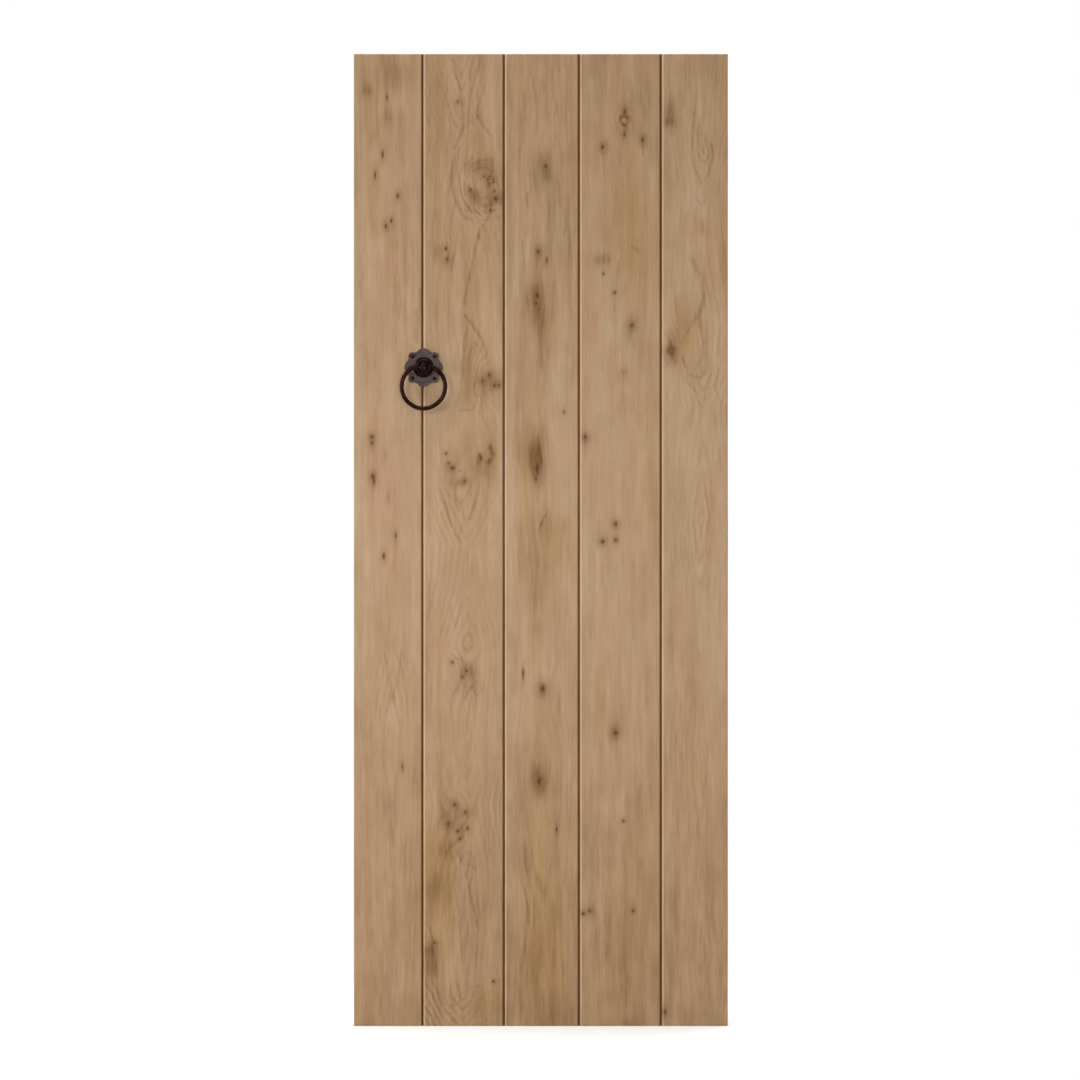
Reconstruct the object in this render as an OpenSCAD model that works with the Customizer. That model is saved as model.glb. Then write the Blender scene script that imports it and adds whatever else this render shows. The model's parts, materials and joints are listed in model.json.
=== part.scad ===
// Boarded oak door leaf with ledges, half-surface hinges and a ring-handle latch.
// Millimetres. X runs across the leaf, Y from front to back, Z up.
// The origin is the middle of the leaf's bottom edge, halfway through the boards.

/* [Leaf] */
// Width of the leaf
leaf_w = 762; // [600:1:920]
// Height of the leaf
leaf_h = 1981; // [1600:1:2400]
// Thickness of the boards
board_t = 22; // [18:1:28]
// Width that board 1 is sawn to, before all five are planed to fill the leaf
board_1_w = 140; // [120:1:170]
// Sawn width of board 2
board_2_w = 166; // [120:1:190]
// Sawn width of board 3
board_3_w = 153; // [120:1:190]
// Sawn width of board 4
board_4_w = 167; // [120:1:190]
// Sawn width of board 5
board_5_w = 136; // [120:1:170]
// Width of the chamfer on the leaf's two outer edges
edge_ease = 1.5; // [0.5:0.1:3]

/* [Board joints] */
// Gap between two boards' shoulders
joint_gap = 1; // [0.5:0.1:2]
// Width of the chamfer on each side of a V joint
v_cut = 3.4; // [2:0.1:5]
// Thickness of the tongue
tongue_t = 6; // [5:0.5:8]
// Length of the tongue
tongue_l = 8; // [6:0.5:10]
// Clearance between the tongue and each wall of its groove
tongue_play = 0.15; // [0.1:0.05:0.4]
// Room left at the bottom of a groove
groove_room = 1; // [0.5:0.1:2]

/* [Ledges] */
// Thickness of a ledge
ledge_t = 22; // [18:1:28]
// Height of a ledge
ledge_h = 150; // [110:1:180]
// Chamfer along a ledge's back edges
ledge_ease = 6; // [2:0.5:10]
// Distance from the leaf's end to the middle of the top or bottom ledge
ledge_inset = 215; // [150:1:260]
// Distance of a ledge screw above or below the ledge's middle line
ledge_screw_rise = 42; // [25:1:45]
// Length of a ledge screw
ledge_screw_l = 36; // [28:1:38]

/* [Hinges] */
// Height of a hinge
hinge_h = 100; // [75:1:105]
// Thickness of the hinge plate
hinge_t = 2.2; // [1.8:0.1:3]
// Distance from the pin's axis to the free edge of the plate on the door
hinge_leaf_w = 36; // [28:1:40]
// Radius of the hinge pin
hinge_pin_r = 3; // [2:0.1:4]
// Radial clearance of the pin in its knuckles
hinge_pin_play = 0.05; // [0.02:0.01:0.1]
// End gap between two knuckles
knuckle_gap = 0.3; // [0.2:0.05:0.6]
// Gap between the leaf's edge and the jamb
jamb_gap = 0.8; // [0.3:0.1:2]
// Radius of a hinge screw's hole
hinge_hole_r = 2.4; // [2:0.1:3]
// Radius of a hinge screw's head
hinge_head_r = 4.2; // [3.6:0.1:4.6]
// Length of a hinge screw
hinge_screw_l = 18; // [12:1:20]

/* [Ring handle] */
// Height of the handle above the middle ledge's middle line
handle_rise = 351.5; // [260:0.5:420]
// Distance of the handle to the right of the first joint between boards
handle_past_joint = 2; // [0:0.5:6]
// Thickness of the rose
rose_t = 3; // [2:0.5:5]
// Radius of the rose between its lobes
rose_core_r = 35; // [30:0.5:36]
// Distance from the centre to a main lobe's centre
rose_lobe_at = 23; // [20:0.5:28]
// Radius of a main lobe
rose_lobe_r = 16; // [12:0.5:18]
// Distance from the centre to a corner lobe's centre
rose_bud_at = 32.5; // [31:0.5:36]
// Radius of a corner lobe
rose_bud_r = 8; // [6:0.5:10]
// Distance from the centre to a rose screw
rose_screw_at = 31.5; // [28:0.5:34]
// Radius of a rose screw's domed head
rose_head_r = 4; // [3:0.1:5]
// Radius of a rose screw's shank
rose_shank_r = 2; // [1.5:0.1:2.5]
// Length of a rose screw under its head
rose_screw_l = 16; // [10:1:20]
// Radius of the boss's foot
boss_foot_r = 21; // [19:0.5:23]
// Radius of the boss's drum
boss_drum_r = 15; // [13:0.5:17]
// Distance from the boards to the ring's axis
ring_stand_off = 17; // [15:0.5:24]
// Length of the boss's drum in front of the ring's axis
boss_nose = 7.5; // [6.5:0.5:10]
// Radius of the boss's journal, which turns in the rose
journal_r = 9; // [8:0.5:11]
// Diameter of the ring's bar
ring_bar_d = 8.5; // [6:0.5:10]
// Radius of the ring, to the middle of its bar
ring_r = 44.3; // [38:0.1:50]
// Distance from the ring's axis down to the ring's centre
ring_drop = 39.5; // [34:0.1:40]
// Diameter of the ring's straight cross bar, which turns in the boss
ring_pin_d = 7; // [5:0.5:8]
// Side of the square spindle
spindle_w = 8; // [6:0.5:9]

/* [Latch] */
// Height of the latch bar
bar_h = 20; // [16:1:24]
// Thickness of the latch bar
bar_t = 5; // [4:0.5:7]
// Gap between the boards and the latch bar
bar_stand_off = 5; // [4.5:0.5:8]
// Distance from the spindle's axis up to the bar's lower edge
bar_rise = 10.2; // [10:0.1:14]
// Distance from the spindle's axis to the bar's pivot
pivot_reach = 60; // [50:1:75]
// Length of the bar beyond the leaf's edge
bar_past_edge = 0; // [0:1:30]
// Radius of the pivot bolt's shank
pivot_r = 4; // [3:0.1:5]
// Distance from the leaf's edge to the middle of the keeper
keeper_in = 33; // [22:1:38]
// Width of the keeper's strap
keeper_w = 24; // [16:1:28]
// Thickness of the keeper's strap
keeper_t = 3; // [2:0.5:3.5]
// Room for the bar to rise in the keeper
keeper_lift = 26; // [24:1:36]
// Distance from the spindle's axis to the latch knob
knob_reach = 55; // [50:1:58]
// Radius of the latch knob
knob_r = 9; // [7:0.5:10]
// Distance from the spindle's axis to the lifter's tip
lifter_reach = 26; // [22:0.5:30]
// Radius of the lifter's tip
lifter_tip_r = 4; // [3:0.5:5]
// Radius of the lifter's hub
lifter_hub_r = 9; // [8.5:0.1:9.5]
// Radius of the pin through the lifter's hub
lifter_pin_r = 1.5; // [1:0.1:2]
// Radius of the plate behind the lifter
back_plate_r = 27; // [25:0.5:32]
// Thickness of the plate behind the lifter
back_plate_t = 2.5; // [2:0.1:3.5]

/* [Small screws and clearances] */
// Radius of a latch screw's head
head_r = 3.6; // [3:0.1:4]
// Radius of a latch screw's shank
shank_r = 1.8; // [1.5:0.1:2]
// Length of a latch screw
screw_l = 15; // [10:1:18]
// Clearance around a screw, all round
screw_play = 0.05; // [0.02:0.01:0.1]
// Gap between parts that turn side by side
run_gap = 0.3; // [0.2:0.05:0.6]
// Radial clearance of the latch's own pivots
pivot_play = 0.05; // [0.02:0.01:0.1]

/* [Hidden] */
$fn = 64;

oak = "#b08f6e";
oak_dark = "#a5835f";
black_iron = "#332a2a";
rose_iron = "#57494f";
japanned = "#2b2a2c";
steel = "#8d8c88";
over = 1; // how far a cutting solid runs past a face

// boards and ledges
board_w = [board_1_w, board_2_w, board_3_w, board_4_w, board_5_w];
boards = len(board_w);
function sum_to(v, n) = n <= 0 ? 0 : v[n - 1] + sum_to(v, n - 1);
joint_x = [for (i = [0:boards]) leaf_w * (sum_to(board_w, i) / sum_to(board_w, boards) - 0.5)];
front_y = -board_t / 2;
back_y = board_t / 2;
ledge_back_y = back_y + ledge_t;
ledge_z = [leaf_h - ledge_inset, leaf_h / 2, ledge_inset];

// hinges: the knuckle is rolled so that both plates are tangent to it, and the plate on the jamb
// lies in front of the ledge's end, behind the boards
knuckles = 5;
knuckle_r = hinge_pin_r + hinge_pin_play + hinge_t;
knuckle_pitch = hinge_h / knuckles;
hinge_x = leaf_w / 2 + jamb_gap - knuckle_r;
hinge_y = ledge_back_y + knuckle_r;
hinge_frame_w = ledge_t + knuckle_r - 0.8;
hinge_hole_u = [0.36, 0.72]; // as shares of the plate's width
hinge_hole_z = [hinge_h * 0.37, hinge_h * 0.12];
hinge_csk = min(hinge_head_r - hinge_hole_r, hinge_t * 0.6);
hinge_shank_r = hinge_hole_r - screw_play;
ledge_screw_in = hinge_leaf_w + knuckle_r + 8;
ledge_len = leaf_w - hinge_t;
ledge_head_r = 4.5;
ledge_shank_r = 2.3;

// ring handle, beside the first joint between boards
handle_x = joint_x[1] + handle_past_joint;
handle_z = ledge_z[1] + handle_rise;
ring_half_chord = sqrt(ring_r * ring_r - ring_drop * ring_drop);
ring_end_angle = asin(ring_half_chord / ring_r);
ring_bar_r = ring_bar_d / 2;
ring_pin_r = min(ring_pin_d, ring_bar_d) / 2;
ring_play = 0.1;
boss_foot_t = 2.2;
boss_foot_z = rose_t + run_gap; // the boss's heights are distances from the boards' front face
boss_top = ring_stand_off + boss_nose;
bore_r = journal_r + 1; // hole through the boards
journal_l = rose_t + 3;
socket_play = 0.06;
spindle_tip = rose_t + boss_foot_t + 1;

// latch on the back; heights here are distances from the boards' back face
bar_mid_z = bar_rise + bar_h / 2;
hub_base = back_plate_t + run_gap;
hub_top = bar_stand_off + bar_t + 5;
bar_far = bar_stand_off + bar_t;
keeper_x = -leaf_w / 2 + keeper_in;
lifter_tip_z = bar_rise - run_gap * 2 - lifter_tip_r;
pivot_plate_t = bar_stand_off - run_gap;
pivot_head_r = 7;
pivot_head_t = 3.5;
back_screw_at = back_plate_r - head_r - 3;
pivot_screw_z = 15;

// ---- shared shapes ----

// a countersunk screw, head up along +Z with its face at z = 0
module csk_screw(head, shank, length) {
    head_h = head - shank;
    difference() {
        union() {
            translate([0, 0, -head_h]) cylinder(r1 = shank, r2 = head, h = head_h);
            translate([0, 0, -length + shank]) cylinder(r = shank, h = length - shank - head_h);
            translate([0, 0, -length]) cylinder(r1 = 0.4, r2 = shank, h = shank);
        }
        translate([-head, -0.4, -head_h * 0.45]) cube([2 * head, 0.8, head_h]);
    }
}

// the hole that such a screw sits in
module csk_hole(head, shank, length) {
    head_h = head - shank;
    translate([0, 0, -head_h]) cylinder(r1 = shank + screw_play, r2 = head + screw_play, h = head_h);
    translate([0, 0, -length - 0.5]) cylinder(r = shank + screw_play, h = length + 0.5);
    cylinder(r = head + screw_play, h = over);
}

// a frame on the boards' front face at the handle, +Z pointing out
module on_front() {
    translate([handle_x, front_y, handle_z]) rotate([90, 0, 0]) children();
}

// a frame on the boards' back face at the handle, +Z pointing out and +Y down
module on_back() {
    translate([handle_x, back_y, handle_z]) rotate([-90, 0, 0]) children();
}

// ---- where the fixings go ----

module ledge_screw_places() {
    for (z = ledge_z)
        for (i = [0 : boards - 1])
            for (side = [-1, 1]) {
                x = side < 0 ? joint_x[i] + ledge_screw_in : joint_x[i + 1] - ledge_screw_in;
                translate([x, ledge_back_y, z + side * ledge_screw_rise]) rotate([-90, 0, 0]) children();
            }
}

// holes of one hinge plate, in the plate's own frame
module hinge_hole_places(width) {
    for (row = [0, 1])
        for (side = [-1, 1])
            translate([-hinge_hole_u[row] * width, hinge_t - knuckle_r, side * hinge_hole_z[row]])
                rotate([-90, 0, 0]) children();
}

module at_hinge(z) {
    translate([hinge_x, hinge_y, z]) children();
}

module hinge_screw_places() {
    for (z = ledge_z) at_hinge(z) hinge_hole_places(hinge_leaf_w) children();
}

module rose_screw_places() {
    on_front() for (a = [45:90:315]) rotate(a) translate([rose_screw_at, 0, rose_t]) children();
}

module back_plate_screw_places() {
    on_back() for (a = [45:90:315]) rotate(a) translate([back_screw_at, 0, back_plate_t]) children();
}

module pivot_screw_places() {
    on_back() for (side = [-1, 1])
        translate([pivot_reach, side * pivot_screw_z - bar_mid_z, pivot_plate_t]) children();
}

module keeper_screw_places() {
    on_back() for (z = keeper_flange_mid)
        translate([keeper_x - handle_x, -z, keeper_t]) children();
}

// keeper strap, as heights above the spindle's axis
keeper_low = bar_rise - run_gap;
keeper_high = bar_rise + bar_h + keeper_lift;
keeper_flange = 14;
keeper_flange_mid = [keeper_low - keeper_t - keeper_flange / 2, keeper_high + keeper_t + keeper_flange / 2];

// ---- wooden leaf ----

// edge outlines run front to back on the right side and back to front on the left
function grooved_edge(x) = [
    [x + joint_gap / 2, back_y],
    [x + joint_gap / 2, tongue_t / 2 + tongue_play],
    [x + joint_gap / 2 + tongue_l + groove_room, tongue_t / 2 + tongue_play],
    [x + joint_gap / 2 + tongue_l + groove_room, -tongue_t / 2 - tongue_play],
    [x + joint_gap / 2, -tongue_t / 2 - tongue_play],
    [x + joint_gap / 2, front_y + v_cut],
    [x + joint_gap / 2 + v_cut, front_y]
];
function tongued_edge(x) = [
    [x - joint_gap / 2 - v_cut, front_y],
    [x - joint_gap / 2, front_y + v_cut],
    [x - joint_gap / 2, -tongue_t / 2],
    [x - joint_gap / 2 + tongue_l, -tongue_t / 2],
    [x - joint_gap / 2 + tongue_l, tongue_t / 2],
    [x - joint_gap / 2, tongue_t / 2],
    [x - joint_gap / 2, back_y]
];
function left_edge(x) = [
    [x + edge_ease, back_y], [x, back_y - edge_ease], [x, front_y + edge_ease], [x + edge_ease, front_y]
];
function right_edge(x) = [
    [x - edge_ease, front_y], [x, front_y + edge_ease], [x, back_y - edge_ease], [x - edge_ease, back_y]
];

module board(i) {
    left = i == 0 ? left_edge(joint_x[i]) : grooved_edge(joint_x[i]);
    right = i == boards - 1 ? right_edge(joint_x[i + 1]) : tongued_edge(joint_x[i + 1]);
    color(oak) difference() {
        linear_extrude(leaf_h) polygon(concat(left, right));
        ledge_screw_places() csk_hole(ledge_head_r, ledge_shank_r, ledge_screw_l);
        if (i < 2) {
            on_front() translate([0, 0, -board_t - over]) cylinder(r = bore_r, h = board_t + 2 * over);
            rose_screw_places() csk_hole(rose_head_r, rose_shank_r, rose_screw_l + rose_t);
            back_plate_screw_places() csk_hole(head_r, shank_r, screw_l);
            pivot_screw_places() csk_hole(head_r, shank_r, screw_l);
            keeper_screw_places() csk_hole(head_r, shank_r, screw_l);
        }
    }
}

module board_1() { board(0); }
module board_2() { board(1); }
module board_3() { board(2); }
module board_4() { board(3); }
module board_5() { board(4); }

module ledge(z) {
    outline = [
        [back_y, -ledge_h / 2],
        [ledge_back_y - ledge_ease, -ledge_h / 2],
        [ledge_back_y, -ledge_h / 2 + ledge_ease],
        [ledge_back_y, ledge_h / 2 - ledge_ease],
        [ledge_back_y - ledge_ease, ledge_h / 2],
        [back_y, ledge_h / 2]
    ];
    color(oak_dark) difference() {
        translate([-leaf_w / 2, 0, z]) rotate([90, 0, 90]) linear_extrude(ledge_len) polygon(outline);
        ledge_screw_places() csk_hole(ledge_head_r, ledge_shank_r, ledge_screw_l);
        hinge_screw_places() translate([0, 0, -hinge_t]) cylinder(r = hinge_hole_r, h = 2 * over, center = true);
        hinge_screw_places() translate([0, 0, -hinge_screw_l - 0.5]) cylinder(r = hinge_hole_r, h = hinge_screw_l);
    }
}

module ledge_top() { ledge(ledge_z[0]); }
module ledge_middle() { ledge(ledge_z[1]); }
module ledge_bottom() { ledge(ledge_z[2]); }

module ledge_screws() {
    color(steel) ledge_screw_places() csk_screw(ledge_head_r, ledge_shank_r, ledge_screw_l);
}

// ---- hinges ----

// one plate with its knuckles, the pin on the Z axis and the plate towards -X
module hinge_plate(first, width) {
    clear_r = knuckle_r + knuckle_gap;
    difference() {
        union() {
            translate([-width, -knuckle_r, -hinge_h / 2])
                cube([width - clear_r, hinge_t, hinge_h]);
            for (k = [first : 2 : knuckles - 1])
                translate([0, 0, -hinge_h / 2 + k * knuckle_pitch + knuckle_gap / 2]) {
                    cylinder(r = knuckle_r, h = knuckle_pitch - knuckle_gap);
                    translate([-clear_r - over, -knuckle_r, 0])
                        cube([clear_r + over, hinge_t, knuckle_pitch - knuckle_gap]);
                }
        }
        translate([0, 0, -hinge_h / 2 - over]) cylinder(r = hinge_pin_r + hinge_pin_play, h = hinge_h + 2 * over);
        hinge_hole_places(width) {
            translate([0, 0, -hinge_t - over]) cylinder(r = hinge_hole_r, h = hinge_t + 2 * over);
            translate([0, 0, -hinge_csk])
                cylinder(r1 = hinge_hole_r, r2 = hinge_hole_r + hinge_csk, h = hinge_csk);
        }
    }
}

module hinge_frame_leaf(z) {
    color(japanned) at_hinge(z) rotate(90) hinge_plate(0, hinge_frame_w);
}

module hinge_door_leaf(z) {
    color(japanned) at_hinge(z) hinge_plate(1, hinge_leaf_w);
}

module hinge_pin(z) {
    head_h = 2;
    color(steel) at_hinge(z) {
        translate([0, 0, -hinge_h / 2 + knuckle_gap]) cylinder(r = hinge_pin_r, h = hinge_h - knuckle_gap);
        translate([0, 0, hinge_h / 2]) cylinder(r = knuckle_r - 0.6, h = head_h * 0.6);
        translate([0, 0, hinge_h / 2 + head_h * 0.6])
            cylinder(r1 = knuckle_r - 0.6, r2 = knuckle_r - 2, h = head_h * 0.4);
    }
}

module hinge_top_frame_leaf() { hinge_frame_leaf(ledge_z[0]); }
module hinge_top_door_leaf() { hinge_door_leaf(ledge_z[0]); }
module hinge_top_pin() { hinge_pin(ledge_z[0]); }
module hinge_middle_frame_leaf() { hinge_frame_leaf(ledge_z[1]); }
module hinge_middle_door_leaf() { hinge_door_leaf(ledge_z[1]); }
module hinge_middle_pin() { hinge_pin(ledge_z[1]); }
module hinge_bottom_frame_leaf() { hinge_frame_leaf(ledge_z[2]); }
module hinge_bottom_door_leaf() { hinge_door_leaf(ledge_z[2]); }
module hinge_bottom_pin() { hinge_pin(ledge_z[2]); }

module hinge_screws() {
    color(steel) hinge_screw_places() difference() {
        union() {
            translate([0, 0, -hinge_csk])
                cylinder(r1 = hinge_shank_r, r2 = hinge_shank_r + hinge_csk, h = hinge_csk);
            translate([0, 0, hinge_shank_r - hinge_screw_l])
                cylinder(r = hinge_shank_r, h = hinge_screw_l - hinge_shank_r - hinge_csk);
            translate([0, 0, -hinge_screw_l]) cylinder(r1 = 0.4, r2 = hinge_shank_r, h = hinge_shank_r);
        }
        translate([-hinge_head_r, -0.4, -hinge_csk * 0.6]) cube([2 * hinge_head_r, 0.8, hinge_csk]);
    }
}

// ---- ring handle ----

module rose_outline() {
    circle(r = rose_core_r);
    for (a = [0:90:270]) rotate(a) translate([rose_lobe_at, 0]) circle(r = rose_lobe_r);
    for (a = [45:90:315]) rotate(a) translate([rose_bud_at, 0]) circle(r = rose_bud_r);
}

module rose_plate() {
    color(rose_iron) difference() {
        on_front() linear_extrude(rose_t) rose_outline();
        on_front() translate([0, 0, -over]) cylinder(r = journal_r + ring_play, h = rose_t + 2 * over);
        rose_screw_places() translate([0, 0, -rose_t - over])
            cylinder(r = rose_shank_r + screw_play, h = rose_t + 2 * over);
    }
}

module rose_screws() {
    dome_h = rose_head_r * 0.6;
    dome_r = (rose_head_r * rose_head_r + dome_h * dome_h) / (2 * dome_h);
    color(black_iron) rose_screw_places() difference() {
        union() {
            intersection() {
                translate([0, 0, dome_h - dome_r]) sphere(r = dome_r);
                cylinder(r = rose_head_r, h = dome_h);
            }
            translate([0, 0, -rose_screw_l + rose_shank_r])
                cylinder(r = rose_shank_r, h = rose_screw_l - rose_shank_r);
            translate([0, 0, -rose_screw_l]) cylinder(r1 = 0.4, r2 = rose_shank_r, h = rose_shank_r);
        }
        translate([-rose_head_r, -0.5, dome_h * 0.5]) cube([2 * rose_head_r, 1, dome_h]);
    }
}

// half section of the boss as radius and height
function boss_outline() = [
    [0, boss_foot_z - journal_l], [journal_r, boss_foot_z - journal_l], [journal_r, boss_foot_z],
    [boss_foot_r, boss_foot_z], [boss_foot_r, boss_foot_z + boss_foot_t * 0.6],
    [boss_foot_r - 1.2, boss_foot_z + boss_foot_t],
    [boss_drum_r + 1.5, boss_foot_z + boss_foot_t + 0.6], [boss_drum_r, boss_foot_z + boss_foot_t + 2.4],
    [boss_drum_r, boss_top - 2], [boss_drum_r - 1, boss_top - 0.6], [boss_drum_r - 2.4, boss_top],
    [boss_drum_r - 3.8, boss_top - 0.6], [boss_drum_r - 5, boss_top - 2.6], [0, boss_top - 2.6]
];

module ring_boss() {
    dome_r = boss_drum_r - 6;
    color(black_iron) on_front() difference() {
        union() {
            rotate_extrude() polygon(boss_outline());
            // domed centre
            intersection() {
                translate([0, 0, boss_top - 2.6 - dome_r * 0.5]) sphere(r = dome_r * 1.118);
                translate([0, 0, boss_top - 3.6]) cylinder(r = dome_r, h = 2 * dome_r);
            }
            // ears that carry the ring's ends
            for (side = [-1, 1]) scale([side, 1, 1]) translate([0, 0, ring_stand_off]) rotate([0, 90, 0])
                cylinder(r = ring_pin_r + 2.6, h = boss_drum_r + 1.2);
        }
        translate([0, 0, ring_stand_off]) rotate([0, 90, 0])
            cylinder(r = ring_pin_r + ring_play, h = 2 * boss_drum_r + 10, center = true);
        translate([-spindle_w / 2 - socket_play, -spindle_w / 2 - socket_play, boss_foot_z - journal_l - over])
            cube([spindle_w + 2 * socket_play, spindle_w + 2 * socket_play,
                  spindle_tip - boss_foot_z + journal_l + over + socket_play]);
    }
}

module ring() {
    color(black_iron) on_front() translate([0, 0, ring_stand_off]) {
        translate([0, -ring_drop, 0]) rotate(90 + ring_end_angle)
            rotate_extrude(angle = 360 - 2 * ring_end_angle) translate([ring_r, 0]) circle(r = ring_bar_r);
        rotate([0, 90, 0]) cylinder(r = ring_pin_r, h = 2 * ring_half_chord, center = true);
        // forged swellings where the ring is bent into its cross bar
        for (side = [-1, 1]) translate([side * ring_half_chord, 0, 0]) sphere(r = ring_bar_r + 0.6);
    }
}

module spindle() {
    inner = board_t + hub_top + 1;
    color(steel) difference() {
        on_front() translate([-spindle_w / 2, -spindle_w / 2, -inner])
            cube([spindle_w, spindle_w, inner + spindle_tip]);
        lifter_pin_hole(lifter_pin_r + screw_play);
    }
}

// ---- latch on the back ----

module lifter_pin_hole(r) {
    on_back() translate([0, 0, hub_top - 2.5]) rotate([0, 90, 0])
        cylinder(r = r, h = 2 * lifter_hub_r, center = true);
}

module back_plate() {
    color(black_iron) difference() {
        on_back() cylinder(r = back_plate_r, h = back_plate_t);
        on_back() translate([0, 0, -over]) cylinder(r = spindle_w * 0.75, h = back_plate_t + 2 * over);
        back_plate_screw_places() csk_hole(head_r, shank_r, screw_l);
    }
}

module back_plate_screws() {
    color(steel) back_plate_screw_places() csk_screw(head_r, shank_r, screw_l);
}

module lifter() {
    tip_y = -lifter_tip_z; // +Y is down in this frame
    color(black_iron) difference() {
        on_back() {
            translate([0, 0, hub_base]) cylinder(r = lifter_hub_r, h = hub_top - hub_base);
            translate([0, 0, bar_stand_off]) linear_extrude(bar_t) {
                translate([-lifter_reach, tip_y]) circle(r = lifter_tip_r);
                polygon([
                    [-lifter_reach, tip_y - lifter_tip_r], [-lifter_reach, tip_y + lifter_tip_r],
                    [0, lifter_hub_r - 1], [0, -lifter_hub_r + 1]
                ]);
            }
        }
        on_back() translate([-spindle_w / 2 - socket_play, -spindle_w / 2 - socket_play, 0])
            cube([spindle_w + 2 * socket_play, spindle_w + 2 * socket_play, hub_top + over]);
        lifter_pin_hole(lifter_pin_r + screw_play);
    }
}

module lifter_pin() {
    color(steel) lifter_pin_hole(lifter_pin_r);
}

module latch_bar() {
    left = -leaf_w / 2 - bar_past_edge - handle_x;
    tip = bar_h * 0.3;
    color(black_iron) on_back() difference() {
        translate([0, 0, bar_stand_off]) linear_extrude(bar_t) {
            polygon([
                [left + tip, -bar_rise], [left, -bar_rise - tip],
                [left, -bar_rise - bar_h + tip], [left + tip, -bar_rise - bar_h],
                [pivot_reach, -bar_rise - bar_h], [pivot_reach, -bar_rise]
            ]);
            translate([pivot_reach, -bar_mid_z]) circle(r = bar_h / 2);
        }
        translate([pivot_reach, -bar_mid_z, 0]) cylinder(r = pivot_r + pivot_play, h = bar_far + over);
        translate([-knob_reach, -bar_mid_z, 0]) cylinder(r = knob_r / 3 + screw_play, h = bar_far + over);
    }
}

module latch_knob() {
    stem_r = knob_r / 3;
    stem_l = knob_r * 0.9;
    color(black_iron) on_back() translate([-knob_reach, -bar_mid_z, bar_stand_off]) {
        cylinder(r = stem_r, h = bar_t);
        translate([0, 0, bar_t]) cylinder(r1 = stem_r * 2, r2 = stem_r * 1.2, h = stem_l);
        translate([0, 0, bar_t + stem_l + knob_r * 0.85]) sphere(r = knob_r);
    }
}

module pivot_plate() {
    color(black_iron) difference() {
        on_back() translate([pivot_reach, -bar_mid_z, 0]) linear_extrude(pivot_plate_t) {
            circle(r = bar_h / 2);
            for (side = [-1, 1]) translate([0, side * pivot_screw_z]) circle(r = head_r + 3.4);
            translate([-head_r - 3.4, -pivot_screw_z]) square([2 * head_r + 6.8, 2 * pivot_screw_z]);
        }
        on_back() translate([pivot_reach, -bar_mid_z, -over])
            cylinder(r = pivot_r + screw_play, h = pivot_plate_t + 2 * over);
        pivot_screw_places() csk_hole(head_r, shank_r, screw_l);
    }
}

module pivot_bolt() {
    color(steel) on_back() translate([pivot_reach, -bar_mid_z, 0]) difference() {
        union() {
            cylinder(r = pivot_r, h = bar_far + run_gap);
            translate([0, 0, bar_far + run_gap]) cylinder(r = pivot_head_r, h = pivot_head_t * 0.6);
            translate([0, 0, bar_far + run_gap + pivot_head_t * 0.6])
                cylinder(r1 = pivot_head_r, r2 = pivot_head_r - 1.4, h = pivot_head_t * 0.4);
        }
        translate([-pivot_head_r, -0.6, bar_far + run_gap + pivot_head_t * 0.5])
            cube([2 * pivot_head_r, 1.2, pivot_head_t]);
    }
}

module pivot_plate_screws() {
    color(steel) pivot_screw_places() csk_screw(head_r, shank_r, screw_l);
}

module keeper() {
    top = bar_far + run_gap + keeper_t;
    // outline as height above the boards and height above the spindle's axis
    outline = [
        [0, keeper_low - keeper_t - keeper_flange], [keeper_t, keeper_low - keeper_t - keeper_flange],
        [keeper_t, keeper_low - keeper_t], [top, keeper_low - keeper_t],
        [top, keeper_high + keeper_t], [keeper_t, keeper_high + keeper_t],
        [keeper_t, keeper_high + keeper_t + keeper_flange], [0, keeper_high + keeper_t + keeper_flange],
        [0, keeper_high], [top - keeper_t, keeper_high],
        [top - keeper_t, keeper_low], [0, keeper_low]
    ];
    color(black_iron) difference() {
        translate([keeper_x - keeper_w / 2, back_y, handle_z])
            rotate([90, 0, 90]) linear_extrude(keeper_w) polygon(outline);
        keeper_screw_places() csk_hole(head_r, shank_r, screw_l);
    }
}

module keeper_screws() {
    color(steel) keeper_screw_places() csk_screw(head_r, shank_r, screw_l);
}

board_1();
board_2();
board_3();
board_4();
board_5();
ledge_top();
ledge_middle();
ledge_bottom();
ledge_screws();
hinge_top_frame_leaf();
hinge_top_door_leaf();
hinge_top_pin();
hinge_middle_frame_leaf();
hinge_middle_door_leaf();
hinge_middle_pin();
hinge_bottom_frame_leaf();
hinge_bottom_door_leaf();
hinge_bottom_pin();
hinge_screws();
rose_plate();
rose_screws();
ring_boss();
ring();
spindle();
back_plate();
back_plate_screws();
lifter();
lifter_pin();
latch_bar();
latch_knob();
pivot_plate();
pivot_bolt();
pivot_plate_screws();
keeper();
keeper_screws();
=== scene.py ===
# Boarded oak door leaf with a black iron ring handle: the finish of every surface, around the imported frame.
import json
import math

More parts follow.
